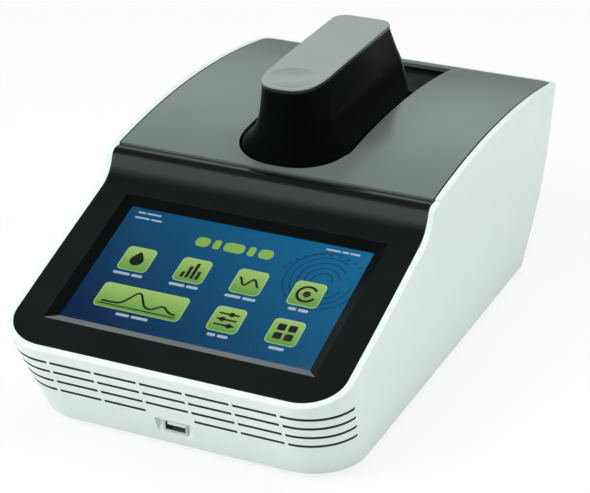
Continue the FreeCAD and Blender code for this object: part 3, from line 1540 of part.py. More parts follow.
def arm_frame():
    """Cast frame inside the arm: the hinge knuckle, a beam, and the head that grips the pedestal."""
    body = new_body()
    front = f"({PEDESTAL_Y} - frame_head_half_depth)"
    rear = f"({PEDESTAL_Y} + frame_head_half_depth)"
    profile = [
        (front, "frame_head_bottom"),
        (rear, "frame_head_bottom"),
        (rear, "frame_bottom"),
        ("hinge_y", "hinge_height - frame_knuckle_radius / 2"),
        ("hinge_y", "hinge_height + frame_knuckle_blend"),
        ("ear_stem_rear_y + frame_shoulder_gap", "frame_top"),
        (front, "frame_top"),
    ]
    pad(body, "YZ_Plane", [profile], "frame_half_width * 2", midplane=True)
    knuckle = ("circle", "hinge_y", "hinge_height", "frame_knuckle_radius")
    pad(body, "YZ_Plane", [knuckle], "frame_knuckle_half_width * 2", midplane=True)
    pin_bore = ("circle", "hinge_y", "hinge_height", "pin_radius + press_gap")
    pocket(body, "YZ_Plane", [pin_bore], "frame_knuckle_half_width * 2 + 2")
    head_bottom = ("0", PEDESTAL_Y, "frame_head_bottom")
    stem_bore = rod("upper_stem_radius + press_gap", "upper_stem_length", head_bottom)
    fibre_way = rod("fibre_radius + fibre_gap", "2 * (frame_top - frame_head_bottom)", head_bottom)
    seat_bottom = ("0", "arm_fibre_end_y", "frame_top - arm_fibre_seat")
    fibre_hole = rod("fibre_radius + fibre_gap", "2 * arm_fibre_seat", seat_bottom)
    tools = [stem_bore, fibre_way, fibre_hole]
    for side, setback in (("frame_boss_side", "frame_boss_front"), ("-frame_boss_side", "frame_boss_rear")):
        low = (side, f"{PEDESTAL_Y} + {setback}", "frame_bottom - screw_land")
        tools.append(rod("screw_radius + screw_clearance", "2 * frame_beam_height", low))
        tools.append(rod("screw_head_radius + joint_gap", "frame_beam_height", low))
    named(less(body, tools), "arm_frame")


def arm_screws():
    screws = []
    for side, setback in (("frame_boss_side", "frame_boss_front"), ("-frame_boss_side", "frame_boss_rear")):
        head_bottom = "frame_top - screw_land - screw_head_height"
        screws.append(pan_screw(side, f"{PEDESTAL_Y} + {setback}", head_bottom))
    group("arm_screws", screws)


platform()
hinge_bracket()
hinge_bushes()
hinge_pin()
arm_frame()
arm_screws()


# The two pedestals that hold the drop, the sample plate and the lift below


def upper_pedestal():
    tip_bottom = "pedestal_top + path_length"
    outline = [
        ("fibre_radius + fibre_gap", "upper_stem_top - upper_flange_radius"),
        ("0", "upper_stem_top - upper_flange_radius"),
        ("0", tip_bottom),
        ("pedestal_tip", tip_bottom),
        ("pedestal_tip", f"{tip_bottom} + pedestal_tip_height"),
        ("pedestal_neck", f"{tip_bottom} + pedestal_tip_height"),
        ("pedestal_neck", "upper_neck_top"),
        ("upper_flange_radius", "upper_neck_top"),
        ("upper_flange_radius", "frame_head_bottom"),
        ("upper_stem_radius", "frame_head_bottom"),
        ("upper_stem_radius", "upper_stem_top"),
        ("fibre_radius + fibre_gap", "upper_stem_top"),
    ]
    turned("upper_pedestal", outline, ("0", PEDESTAL_Y, "0"))


def lower_pedestal():
    bore_top = "pedestal_bottom + pedestal_radius * 2"
    outline = [
        ("fibre_radius + fibre_gap", "pedestal_bottom"),
        ("pedestal_radius", "pedestal_bottom"),
        ("pedestal_radius", "tray_floor"),
        ("pedestal_neck", "tray_floor"),
        ("pedestal_neck", "pedestal_top - pedestal_tip_height"),
        ("pedestal_tip", "pedestal_top - pedestal_tip_height"),
        ("pedestal_tip", "pedestal_top"),
        ("0", "pedestal_top"),
        ("0", bore_top),
        ("fibre_radius + fibre_gap", bore_top),
    ]
    turned("lower_pedestal", outline, ("0", PEDESTAL_Y, "0"))


def sample_plate():
    inner = "pedestal_neck + joint_gap"
    top = f"{TRAY_TOP} + sample_plate_thickness"
    outline = [
        (inner, TRAY_TOP),
        ("sample_plate_radius", TRAY_TOP),
        ("sample_plate_radius", f"{TRAY_TOP} + sample_plate_thickness / 2"),
        ("sample_plate_radius - sample_plate_thickness / 2", top),
        (inner, top),
    ]
    turned("sample_plate", outline, ("0", PEDESTAL_Y, "0"))


def guide_bush():
    inner = "pedestal_radius + running_gap"
    flange_top = f"{PLATFORM_TOP} + guide_bush_flange"
    outline = [
        (inner, "platform_height - guide_bush_flange"),
        ("guide_bush_radius", "platform_height - guide_bush_flange"),
        ("guide_bush_radius", PLATFORM_TOP),
        ("guide_bush_flange_radius", PLATFORM_TOP),
        ("guide_bush_flange_radius", flange_top),
        (inner, flange_top),
    ]
    turned("guide_bush", outline, ("0", PEDESTAL_Y, "0"))


def bumpers():
    pads = []
    length = f"arm_bottom - bumper_gap - {TRAY_TOP}"
    for side in (-1, 1):
        x = f"{side} * (skirt_half_width - arm_wall / 2)"
        pads.append(rod("bumper_radius", length, (x, f"{PEDESTAL_Y} + bumper_y", TRAY_TOP)))
    group("arm_bumpers", pads)


MOTOR_PLATE_TOP = "(motor_plate_height + motor_plate_thickness)"
BRACKET_RIGHT = "(screw_side + motor_width / 2 + bracket_margin)"


def lift():
    """Carriage that clamps the pedestal and rides the screw and two guide rods."""
    outline = rectangle(
        "carriage_front_x",
        f"{PEDESTAL_Y} - carriage_half_depth",
        "screw_side + lead_screw_radius * 3",
        f"{PEDESTAL_Y} + carriage_half_depth",
    )
    loops = [
        outline,
        ("circle", "0", PEDESTAL_Y, "pedestal_radius + press_gap"),
        ("circle", "screw_side", PEDESTAL_Y, "lead_screw_radius + running_gap"),
    ]
    for side in (-1, 1):
        y = f"{PEDESTAL_Y} + {side} * guide_spread"
        loops.append(("circle", "guide_side", y, "guide_rod_radius + running_gap"))
    plate("lift_carriage", loops, "carriage_thickness", "carriage_height")
    rods = []
    for side in (-1, 1):
        at = ("guide_side", f"{PEDESTAL_Y} + {side} * guide_spread", MOTOR_PLATE_TOP)
        rods.append(rod("guide_rod_radius", f"platform_height - {MOTOR_PLATE_TOP}", at))
    group("guide_rods", rods)
    shaft_bottom = "motor_plate_height - motor_shaft_depth"
    shaft_length = f"platform_height - lead_screw_top_gap - ({shaft_bottom})"
    named(rod("lead_screw_radius", shaft_length, ("screw_side", PEDESTAL_Y, shaft_bottom)), "lead_screw")


def motor_bracket():
    """Folded bracket under the platform: a plate that holds the motor, hung by two side legs."""
    left = "(carriage_front_x - bracket_margin)"
    spread = "bracket_leg_spread"
    reach = f"({spread} + bracket_leg)"
    outline = rectangle(left, f"{PEDESTAL_Y} - {reach}", BRACKET_RIGHT, f"{PEDESTAL_Y} + {reach}")
    body = new_body()
    loops = [
        outline,
        ("circle", "screw_side", PEDESTAL_Y, "lead_screw_radius + joint_gap"),
        ("circle", "0", PEDESTAL_Y, "fibre_pass_radius"),
    ]
    pad(body, "XY_Plane", loops, "motor_plate_thickness")
    for side in (-1, 1):
        near = f"{PEDESTAL_Y} + {side} * {spread}"
        far = f"{PEDESTAL_Y} + {side} * {reach}"
        leg = rectangle(left, near, BRACKET_RIGHT, far)
        pad(body, "XY_Plane", [leg], "platform_height - motor_plate_height")
    named(place(body, ("0", "0", "motor_plate_height")), "motor_bracket")


def stepper_motor():
    half = "motor_width / 2"
    at = (f"screw_side - {half}", f"{PEDESTAL_Y} - {half}", "motor_plate_height - motor_length")
    case = block(("motor_width", "motor_width", "motor_length"), at)
    hole = rod(
        "lead_screw_radius + running_gap",
        "motor_length",
        ("screw_side", PEDESTAL_Y, "motor_plate_height - motor_shaft_depth - joint_gap"),
    )
    named(less(case, [hole]), "lift_motor")


upper_pedestal()
lower_pedestal()
sample_plate()
guide_bush()
bumpers()
lift()
motor_bracket()
stepper_motor()


# Optical bench, lamp and fibres


def optical_bench():
    rim = "(bench_half_width - bench_wall)"
    body = new_body()
    outline = rectangle("-bench_half_width", "bench_front_y", "bench_half_width", "bench_rear_y")
    pad(body, "XY_Plane", [outline], "bench_wall")
    well = rectangle(f"-{rim}", "bench_front_y + bench_wall", rim, "bench_rear_y - bench_wall")
    pad(body, "XY_Plane", [outline, well], "bench_depth")
    way = ("circle", "0", f"fibre_height - {CHASSIS_TOP}", "fibre_radius + fibre_gap")
    pocket(body, "XZ_Plane", [way], "2 * (bench_front_y + bench_wall + 1)")
    named(place(body, ("0", "0", CHASSIS_TOP)), "optical_bench")
    lid_bottom = f"{CHASSIS_TOP} + bench_depth"
    plate("bench_lid", [outline], "bench_lid", lid_bottom)


def bench_piece(width, thickness, height, x, y, turn):
    """An upright optic or board, standing on the floor of the bench and turned about the vertical."""
    body = new_body()
    outline = rectangle(f"-({width}) / 2", f"-({thickness}) / 2", f"({width}) / 2", f"({thickness}) / 2")
    pad(body, "XY_Plane", [outline], height)
    return place(body, (x, y, f"{CHASSIS_TOP} + bench_wall"), (0, 0, 1), turn)


def optics():
    rear = "bench_rear_y - bench_wall - optic_thickness - optic_margin"
    front = "bench_front_y + bench_wall + optic_thickness + optic_margin"
    size = ("optic_size", "optic_thickness", "optic_size")
    first = bench_piece(*size, "first_mirror_side", rear, "first_mirror_turn")
    focus = bench_piece(*size, "focus_mirror_side", rear, "focus_mirror_turn")
    group("bench_mirrors", [first, focus])
    grating = bench_piece(*size, "grating_side", f"{front} + optic_margin", "grating_turn")
    named(grating, "diffraction_grating")
    board = ("detector_width", "detector_thickness", "optic_size")
    named(bench_piece(*board, "detector_side", front, "0"), "line_detector")


def lamp():
    left = "(lamp_side - lamp_half_width)"
    right = "(lamp_side + lamp_half_width)"
    body = new_body()
    outline = rectangle(left, "lamp_front_y", right, "lamp_rear_y")
    pad(body, "XY_Plane", [outline], "lamp_height")
    inside_low = (f"{left} + lamp_wall", "lamp_front_y + lamp_wall")
    inside = rectangle(*inside_low, f"{right} - lamp_wall", "lamp_rear_y - lamp_wall")
    cavity = pocket(body, "XY_Plane", [inside], "(lamp_height - lamp_wall) * 2")
    cavity.Midplane = True
    way = ("circle", "lamp_side", f"fibre_height - {CHASSIS_TOP}", "fibre_radius + fibre_gap")
    pocket(body, "XZ_Plane", [way], "2 * (lamp_front_y + lamp_wall + 1)")
    named(place(body, ("0", "0", CHASSIS_TOP)), "lamp_housing")
    bulb_y = "lamp_rear_y - lamp_wall - bulb_base_radius - bulb_length"
    bulb_z = f"{CHASSIS_TOP} + bulb_base_radius + bulb_lift"
    base_at = ("lamp_side", f"{bulb_y} + bulb_length", bulb_z)
    bulb_base = rod("bulb_base_radius", "bulb_base_radius", base_at, "Y")
    bulb = rod("bulb_radius", "bulb_length", ("lamp_side", bulb_y, bulb_z), "Y")
    named(joined([bulb_base, bulb]), "flash_lamp")


def fibre(label, corners, bends):
    """A round fibre along straight runs joined by tangent arcs of the given radii."""
    start = corners[0]
    edges = []
    for i, bend in enumerate(bends, start=1):
        first, middle, last = rounded_corner(corners[i - 1], corners[i], corners[i + 1], bend)
        edges += [Part.makeLine(start, first), Part.Arc(first, middle, last).toShape()]
        start = last
    edges.append(Part.makeLine(start, corners[-1]))
    path = Part.Wire(edges)
    tangent = corners[1] - corners[0]
    ring = Part.Wire([Part.makeCircle(g.fibre_radius, corners[0], tangent)])
    return shaped(label, path.makePipeShell([ring], True, True))


def fibres():
    pedestal_y = g.arm_front_y + g.pedestal_setback
    lower_start = Vector(0, pedestal_y, g.pedestal_bottom + g.pedestal_radius)
    turn = Vector(0, pedestal_y, g.fibre_height)
    bench_end = Vector(0, g.bench_front_y + g.bench_wall, g.fibre_height)
    fibre("detector_fibre", [lower_start, turn, bench_end], [g.fibre_bend])
    rise = g.platform_height + g.platform_thickness + g.lamp_fibre_rise
    lamp_end = Vector(g.lamp_side, g.lamp_front_y + g.lamp_wall, g.fibre_height)
    below = Vector(g.lamp_side, g.lamp_fibre_turn_y, g.fibre_height)
    above = Vector(g.lamp_side, g.lamp_fibre_turn_y, rise)
    inboard = Vector(g.lamp_fibre_side, g.lamp_fibre_turn_y, rise)
    bracket = Vector(g.lamp_fibre_side, g.bracket_front_y - g.joint_gap, rise)
    bends = [g.lamp_fibre_bend, g.fibre_bend, g.fibre_bend]
    fibre("lamp_fibre", [lamp_end, below, above, inboard, bracket], bends)
    stem = Vector(0, pedestal_y, g.upper_stem_top - g.upper_flange_radius)
    up = Vector(0, pedestal_y, g.arm_fibre_height)
    back = Vector(0, g.arm_fibre_end_y, g.arm_fibre_height)
    down = Vector(0, g.arm_fibre_end_y, g.frame_top - g.arm_fibre_seat + g.arm_fibre_seat_gap)
    fibre("arm_fibre", [stem, up, back, down], [g.arm_fibre_bend, g.arm_fibre_tight_bend])


optical_bench()
optics()
lamp()
fibres()


# Recompute, check every object and write one file for each sub-part

doc.recompute()
faults = [thing.Label for thing in doc.Objects if "Invalid" in thing.State or "Error" in thing.State]
for thing in nodes:
    if thing.Shape.isNull() or not thing.Shape.isValid():
        faults.append(thing.Label)
if faults:
    raise RuntimeError("faulty objects: " + ", ".join(faults))

os.makedirs("parts", exist_ok=True)
for thing in nodes:
    thing.Shape.exportStep(f"parts/{thing.Label}.step")
print(len(nodes), "sub-parts written")
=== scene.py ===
import math

import bpy
import numpy as np
from mathutils import Matrix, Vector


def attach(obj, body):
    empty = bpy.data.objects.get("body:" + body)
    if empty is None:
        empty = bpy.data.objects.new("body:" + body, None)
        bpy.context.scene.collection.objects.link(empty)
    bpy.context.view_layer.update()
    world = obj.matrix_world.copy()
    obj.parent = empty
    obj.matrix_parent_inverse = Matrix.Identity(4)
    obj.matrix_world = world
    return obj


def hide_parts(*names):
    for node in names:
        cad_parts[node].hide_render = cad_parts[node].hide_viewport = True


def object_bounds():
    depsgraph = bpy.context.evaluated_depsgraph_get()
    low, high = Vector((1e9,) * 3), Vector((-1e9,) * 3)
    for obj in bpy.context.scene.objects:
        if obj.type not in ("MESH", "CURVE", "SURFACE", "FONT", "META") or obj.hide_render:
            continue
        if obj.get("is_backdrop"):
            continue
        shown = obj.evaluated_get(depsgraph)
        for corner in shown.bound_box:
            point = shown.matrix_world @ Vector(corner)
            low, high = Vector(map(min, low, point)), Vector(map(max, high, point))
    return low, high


# Microvolume spectrophotometer, dressed from the outside in: case, base cover, front panel, display and
# boards, front port, deck, tray, arm, hinge and lift, optics, rear connectors, feet, and last the studio.

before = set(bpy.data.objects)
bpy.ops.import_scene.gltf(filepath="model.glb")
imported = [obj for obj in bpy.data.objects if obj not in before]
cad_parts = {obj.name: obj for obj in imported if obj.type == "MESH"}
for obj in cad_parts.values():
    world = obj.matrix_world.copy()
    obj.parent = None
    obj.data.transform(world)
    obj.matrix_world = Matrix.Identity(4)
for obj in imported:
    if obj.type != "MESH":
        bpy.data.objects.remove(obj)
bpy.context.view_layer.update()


# Upper case: one moulding in white ABS with a fine gloss, drawn with a wall of about 4 mm and a soft
# rim all round. Six bosses inside take the screws that come up through the base cover.

CASE_WHITE = (0.735, 0.80, 0.77)

# The outside in metres: half widths at a few rises above the foot, the front and rear edges in plan with
# the degrees by which they lean, and the corner radii. The front radius shrinks up to the first step.
CASE_FOOT = 0.003
CASE_RISES = (0, 0.024, 0.046, 0.082, 0.132)
CASE_HALVES = (0.0989, 0.1018, 0.104, 0.105, 0.1056)
CASE_FRONT, FRONT_LEAN = -0.1523, 23.4
CASE_REAR, REAR_LEAN = 0.1414, 17.25
FRONT_CORNER, FRONT_CORNER_LOSS, FRONT_STEP = 0.032, 0.0029, 0.046
REAR_CORNER = 0.008

# Recesses for the ports, and the height above which the case is its upper rim.
PORT_WELL_HALF, PORT_WELL_END, PORT_WELL_LOW, PORT_WELL_HIGH = 0.0125, -0.150, 0.0085, 0.0235
REAR_WELL_HALF, REAR_WELL_START, REAR_WELL_LOW, REAR_WELL_HIGH = 0.0705, 0.1373, 0.010, 0.0605
RIM_HEIGHT, RIM_HALF = 0.055, 0.09
UNDERSIDE = 0.0035

# Scale of the two broad fields that every finish has.
CLOUDS_PER_METRE, SMUDGES_PER_METRE = 14.0, 45.0


def link(tree, source, target):
    """Join an output to an input."""
    tree.links.new(source, target)


def noise(tree, place, scale, detail=2.0, roughness=0.5):
    """Smooth random field of the given number of features per metre."""
    node = tree.nodes.new("ShaderNodeTexNoise")
    node.inputs["Scale"].default_value = scale
    node.inputs["Detail"].default_value = detail
    node.inputs["Roughness"].default_value = roughness
    link(tree, place, node.inputs["Vector"])
    return node.outputs["Fac"]


def spread(tree, source, low, high):
    """Ease a field that stays mostly in 0.2 to 0.8 so that it runs from low to high without an edge."""
    node = tree.nodes.new("ShaderNodeMapRange")
    node.interpolation_type = "SMOOTHERSTEP"
    node.inputs["From Min"].default_value = 0.2
    node.inputs["From Max"].default_value = 0.8
    node.inputs["To Min"].default_value = low
    node.inputs["To Max"].default_value = high
    link(tree, source, node.inputs["Value"])
    return node.outputs["Result"]


def two_tone(tree, field, first, second):
    """Colour that runs from first to second as the field runs from 0 to 1."""
    node = tree.nodes.new("ShaderNodeMix")
    node.data_type = "RGBA"
    node.inputs["A"].default_value = (*first, 1.0)
    node.inputs["B"].default_value = (*second, 1.0)
    link(tree, field, node.inputs["Factor"])
    return node.outputs["Result"]


def finish(name, colour, rough, metal=0.0, coat=0.0, gloss=0.5, cloud=0.04, smudge=0.05,
           grain=220.0, depth=2e-6, stretch=(1, 1, 1)):
    """A surface finish on Object coordinates: colour (1 +- cloud x broad noise), roughness
    (rough +- smudge x broad noise), and a bump of the given depth in metres, with grain features
    per metre. Stretch scales the roughness and the bump along each axis."""
    material = bpy.data.materials.new(name)
    material.use_nodes = True
    tree = material.node_tree
    shader = tree.nodes["Principled BSDF"]
    shader.inputs["Metallic"].default_value = metal
    shader.inputs["Specular IOR Level"].default_value = gloss
    shader.inputs["Coat Weight"].default_value = coat
    shader.inputs["Coat Roughness"].default_value = 0.03
    place = tree.nodes.new("ShaderNodeTexCoord").outputs["Object"]
    mapping = tree.nodes.new("ShaderNodeMapping")
    mapping.inputs["Scale"].default_value = stretch
    link(tree, place, mapping.inputs["Vector"])
    broad = spread(tree, noise(tree, place, CLOUDS_PER_METRE, 1.0), 0.0, 1.0)
    darker = tuple(c * (1 - cloud) for c in colour)
    lighter = tuple(min(1.0, c * (1 + cloud)) for c in colour)
    link(tree, two_tone(tree, broad, darker, lighter), shader.inputs["Base Color"])
    low, high = max(0.02, rough - smudge), min(1.0, rough + smudge)
    wiped = noise(tree, mapping.outputs["Vector"], SMUDGES_PER_METRE, 1.0)
    link(tree, spread(tree, wiped, low, high), shader.inputs["Roughness"])
    bump = tree.nodes.new("ShaderNodeBump")
    bump.inputs["Strength"].default_value = 1.0
    bump.inputs["Distance"].default_value = depth
    link(tree, noise(tree, mapping.outputs["Vector"], grain, 2.0), bump.inputs["Height"])
    link(tree, bump.outputs["Normal"], shader.inputs["Normal"])
    return material


def dress(material, *nodes):
    """Give CAD nodes a finish in all of their material slots."""
    for name in nodes:
        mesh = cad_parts[name].data
        mesh.materials.clear()
        mesh.materials.append(material)


def corners(mesh):
    """Corner positions, corner normals and triangle normals of a mesh of triangles."""
    place = np.empty(len(mesh.vertices) * 3)
    mesh.vertices.foreach_get("co", place)
    index = np.empty(len(mesh.loops), int)
    mesh.loops.foreach_get("vertex_index", index)
    normal = np.empty(len(mesh.loops) * 3)
    mesh.corner_normals.foreach_get("vector", normal)
    face = np.empty(len(mesh.polygons) * 3)
    mesh.polygons.foreach_get("normal", face)
    corner = place.reshape(-1, 3)[index].reshape(-1, 3, 3)
    return corner, normal.reshape(-1, 3, 3), face.reshape(-1, 3)


def squared(node, body, limit=18.0):
    """Copy of a CAD node in which each corner normal that strays from its triangle by more than the
    limit in degrees is turned back to the triangle's own normal. Gives the copy, and the middle and
    the normal of every triangle."""
    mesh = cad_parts[node].data.copy()
    mesh.name = node + "_skin"
    place, normal, face = corners(mesh)
    stray = np.einsum("ijk,ik->ij", normal, face) < math.cos(math.radians(limit))
    normal[stray] = np.broadcast_to(face[:, None], normal.shape)[stray]
    mesh.normals_split_custom_set(normal.reshape(-1, 3).tolist())
    thing = bpy.data.objects.new(node + "_skin", mesh)
    bpy.context.scene.collection.objects.link(thing)
    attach(thing, body)
    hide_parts(node)
    return thing, place.mean(1), face


def plan_side(middle):
    """Outward direction in plan at points of the tapered case: straight out of the nearest side of a
    rounded rectangle, and from the corner's centre where both sides are near."""
    x, y, z = middle.T
    rise = z - CASE_FOOT
    half = np.interp(rise, CASE_RISES, CASE_HALVES)
    front = CASE_FRONT - rise * math.tan(math.radians(FRONT_LEAN))
    rear = CASE_REAR + rise * math.tan(math.radians(REAR_LEAN))
    round_front = FRONT_CORNER - FRONT_CORNER_LOSS * rise / FRONT_STEP
    corner = np.where(y < 0, round_front, REAR_CORNER)
    across = np.abs(x) - (half - corner)
    along = np.where(y < 0, front + corner - y, y - (rear - corner))
    out_x = np.where((across > 0) | (across > along), np.maximum(across, 1e-6), 0)
    out_y = np.where((along > 0) | (along >= across), np.maximum(along, 1e-6), 0)
    out_x, out_y = out_x * np.sign(x), out_y * np.where(y < 0, -1, 1)
    return np.stack([out_x, out_y], 1) / np.hypot(out_x, out_y)[:, None]


def coat_faces(thing, materials, choice):
    """Give a copied node several finishes, and each triangle the one that its number chooses."""
    thing.data.materials.clear()
    for material in materials:
        thing.data.materials.append(material)
    thing.data.polygons.foreach_set("material_index", choice.astype(np.int32))


# Triangles are chosen by where they lie and which way they face. All but the outside, the two recesses, the
# rim and the underside is inside, and is coloured dark grey as painted shade, so that the vents and the
# case's hollows look as dark as their shade.
case, middle, face = squared("upper_case", "base")
x, y, z = middle.T
side_x = np.abs(x)
port_well = (side_x < PORT_WELL_HALF) & (y < PORT_WELL_END) & (z > PORT_WELL_LOW) & (z < PORT_WELL_HIGH)
rear_well = (side_x < REAR_WELL_HALF) & (y > REAR_WELL_START) & (z > REAR_WELL_LOW) & (z < REAR_WELL_HIGH)
rim = (np.abs(face[:, 0]) < 0.7) & (side_x > RIM_HALF) & (z > RIM_HEIGHT)
upward = rim | (face[:, 2] > 0.5) & (z > RIM_HEIGHT)
outward = np.sum(plan_side(middle) * face[:, :2], 1) > 0.3
shaded_inside = ~outward & ~port_well & ~rear_well & ~upward & (z > UNDERSIDE)
# Painted shade: the inside faces of the white moulding get a dark grey colour instead of the case's white.
coat_faces(case, [
    finish("case_white", CASE_WHITE, 0.35, cloud=0.012, smudge=0.05, grain=1400.0, depth=1e-6),
    finish("case_inside_painted_shade", (0.10, 0.11, 0.105), 0.6, metal=0.2, grain=1500.0, depth=8e-6),
], shaded_inside)


# Base cover: a flat light grey plate with a fine moulded texture. It closes the case from below, and six
# screws go up through it into the case's bosses.

dress(finish("cover_grey", (0.50, 0.53, 0.51), 0.55, grain=1800.0, depth=2e-5), "base_cover")


# Front panel: piano-black acrylic moulding that drops into the case rim, with a mitred bevel round
# the window. Its gloss is close to glass, with only a faint waviness. The window's side bevels are coloured
# blacker and less glossy as painted shade, and its lower bevel dark grey as a painted reflection.

WINDOW_HALF, WINDOW_REAR = 0.0845, -0.055
WAVY = {"cloud": 0.1, "smudge": 0.04, "grain": 60.0, "depth": 1e-6}

panel, middle, face = squared("front_panel", "base")
window = (np.abs(middle[:, 0]) < WINDOW_HALF) & (middle[:, 1] < WINDOW_REAR)
window &= (face[:, 2] > 0.2) & (np.abs(face[:, 0]) < 0.9)
reflecting_lower_bevel = window & (face[:, 1] > 0.05)
shaded_side_bevel = window & ~reflecting_lower_bevel & ((np.abs(face[:, 0]) > 0.3) | (face[:, 1] < -0.5))
# Painted shade on the side bevels and a painted reflection on the lower bevel: darker and lighter copies of
# the panel's black.
coat_faces(panel, [
    finish("panel_black", (0.0050, 0.0070, 0.0070), 0.16, gloss=1.0, **WAVY),
    finish("bevel_black_painted_shade", (0.003, 0.004, 0.004), 0.20, gloss=0.1, **WAVY),
    finish("bevel_grey_painted_reflection", (0.14, 0.155, 0.16), 0.20, gloss=0.4, **WAVY),
], shaded_side_bevel + 2 * reflecting_lower_bevel)


# Display: a touch glass over a lit panel, set in behind the front panel's window. The picture is a plain
# menu of green tiles with simple measuring signs on a blue ground, in thin layers between the two.

# Front edge and tilt of the panel's face, and the picture's half width, lower and upper edge on it.
PANEL_Y, PANEL_Z, PANEL_TILT = -0.1722, 0.059343, math.radians(19.0)
PICTURE_HALF, PICTURE_START, PICTURE_END = 0.0784, 0.0242, 0.1196

# Depths under the panel's face of the top and bottom of each thin layer between glass and display.
SCREEN_DEPTH = 0.0045
LAYERS = {
    "picture": (0.00452, 0.00456),
    "ripples": (0.004512, 0.004518),
    "rims": (0.004504, 0.004510),
    "tiles": (0.004496, 0.004502),
    "signs": (0.004484, 0.00449),
}

# Tiles: side, corner, step from one to the next, and the height of the two rows on the panel. The last
# two are the rows' step and the lower row's lower edge measured along Y, for the tiles' shading.
TILE, TILE_CORNER, TILE_PITCH = 0.0182, 0.0028, 0.0354
ROW_UP = (0.0788, 0.0488)
ROW_STEP = (ROW_UP[0] - ROW_UP[1]) * math.cos(PANEL_TILT)
TILE_LOW = PANEL_Y + (ROW_UP[1] - TILE / 2) * math.cos(PANEL_TILT) + SCREEN_DEPTH * math.sin(PANEL_TILT)

# Captions: how far under the tile's middle they stand, their height, and that of the small print.
CAPTION_DROP, CAPTION_HIGH, SMALL_HIGH = 0.0124, 0.0020, 0.0013
RIPPLE_X, RIPPLE_UP = 0.0560, 0.0905

# Slant of the picture's blue over X, Y and Z, its start, and the pixels' lines with their strength.
PICTURE_SLANT, PICTURE_SHIFT = (3.6, 4.4, 1.5), 0.72
PIXEL_SCALE, PIXEL_STRENGTH = 900.0, 0.04


def on_panel(across, up, depth):
    """Points in the row frame from across, up and depth under the face of the tilted panel."""
    across, up, depth = np.broadcast_arrays(across, up, depth)
    cos, sin = math.cos(PANEL_TILT), math.sin(PANEL_TILT)
    return np.stack([across, PANEL_Y + up * cos + depth * sin, PANEL_Z + up * sin - depth * cos], -1)


def build(name, points, faces, material, body="base"):
    """A mesh object at the origin from vertex positions and faces, with the display's slot."""
    mesh = bpy.data.meshes.new(name)
    mesh.from_pydata(np.asarray(points).reshape(-1, 3).tolist(), [], faces)
    mesh.update()
    mesh.materials.append(material)
    thing = bpy.data.objects.new(name, mesh)
    bpy.context.scene.collection.objects.link(thing)
    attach(thing, body)
    return thing


def slabs(name, outlines, layer, material):
    """Thin flat slabs on the panel, one for each closed outline of (across, up) points: the outline
    at the layer's top depth, the same outline at its bottom depth, and walls between them. An outline
    of negative area, sum of x1 y2 - x2 y1, is turned round first."""
    top, bottom = LAYERS[layer]
    points, faces, first = [], [], 0
    for outline in outlines:
        outline = np.asarray(outline)
        x, y = outline.T
        area = np.sum(x * np.roll(y, -1) - np.roll(x, -1) * y)
        outline = outline if area > 0 else outline[::-1]
        count = len(outline)
        points.append(on_panel(outline[:, 0], outline[:, 1], top))
        points.append(on_panel(outline[:, 0], outline[:, 1], bottom))
        i = np.arange(count)
        j = np.roll(i, -1)
        walls = np.stack([i + count, j + count, j, i], 1) + first
        faces += [(i + first).tolist(), (i[::-1] + count + first).tolist()] + walls.tolist()
        first += 2 * count
    return build(name, np.concatenate(points), faces, material)


def rounded(x, y, wide, high, corner):
    """Rounded rectangle: each quarter is the corner's centre plus corner (cos t, sin t)."""
    t = np.linspace(0, 2 * np.pi, 33)[:-1] + np.pi / 64
    cx = np.sign(np.cos(t)) * (wide / 2 - corner) + corner * np.cos(t)
    cy = np.sign(np.sin(t)) * (high / 2 - corner) + corner * np.sin(t)
    return np.stack([x + cx, y + cy], 1)


def ribbon(line, width):
    """Band of a width along a line of points: the line moved both ways along its own normal."""
    line = np.asarray(line)
    along = np.gradient(line, axis=0)
    across = np.stack([-along[:, 1], along[:, 0]], 1) / np.linalg.norm(along, axis=1)[:, None]
    return np.concatenate([line + across * width / 2, (line - across * width / 2)[::-1]])


def measure(tree, operation, *values, clamp=False):
    """One arithmetic step on fields or plain numbers."""
    node = tree.nodes.new("ShaderNodeMath")
    node.operation = operation
    node.use_clamp = clamp
    for socket, value in zip(node.inputs, values):
        if isinstance(value, (int, float)):
            socket.default_value = value
        else:
            link(tree, value, socket)
    return node.outputs["Value"]


def dot_with(tree, place, direction):
    """Dot product of a field of points or directions with a fixed vector."""
    node = tree.nodes.new("ShaderNodeVectorMath")
    node.operation = "DOT_PRODUCT"
    node.inputs[1].default_value = direction
    link(tree, place, node.inputs[0])
    return node.outputs["Value"]


def glow(name, low, high, strength, span="picture"):
    """A lit surface: emission from low to high, slantwise over the whole picture or up over each tile,
    with faint lines of pixels on top."""
    material = bpy.data.materials.new(name)
    material.use_nodes = True
    tree = material.node_tree
    shader = tree.nodes["Principled BSDF"]
    shader.inputs["Base Color"].default_value = (0.002, 0.002, 0.003, 1)
    shader.inputs["Roughness"].default_value = 0.35
    shader.inputs["Specular IOR Level"].default_value = 0.05
    shader.inputs["Emission Strength"].default_value = strength
    place = tree.nodes.new("ShaderNodeTexCoord").outputs["Object"]
    if span == "picture":
        field = measure(tree, "ADD", dot_with(tree, place, PICTURE_SLANT), PICTURE_SHIFT)
    else:
        row = measure(tree, "ADD", dot_with(tree, place, (0.0, 1 / ROW_STEP, 0.0)), -TILE_LOW / ROW_STEP)
        over_tile = ROW_STEP / (TILE * math.cos(PANEL_TILT))
        field = measure(tree, "MULTIPLY", measure(tree, "FRACT", row), over_tile)
    pixel = tree.nodes.new("ShaderNodeTexWave")
    pixel.inputs["Scale"].default_value = PIXEL_SCALE
    link(tree, place, pixel.inputs["Vector"])
    mixed = measure(tree, "MULTIPLY_ADD", pixel.outputs["Fac"], PIXEL_STRENGTH, field, clamp=True)
    link(tree, two_tone(tree, mixed, low, high), shader.inputs["Emission Color"])
    return material


def ring(x, y, radius, width, start, stop):
    """Open ring: a band of a width along the arc x + r cos t, y + r sin t from start to stop."""
    t = np.linspace(start, stop, 48)
    return ribbon(np.stack([x + radius * np.cos(t), y + radius * np.sin(t)], 1), width)


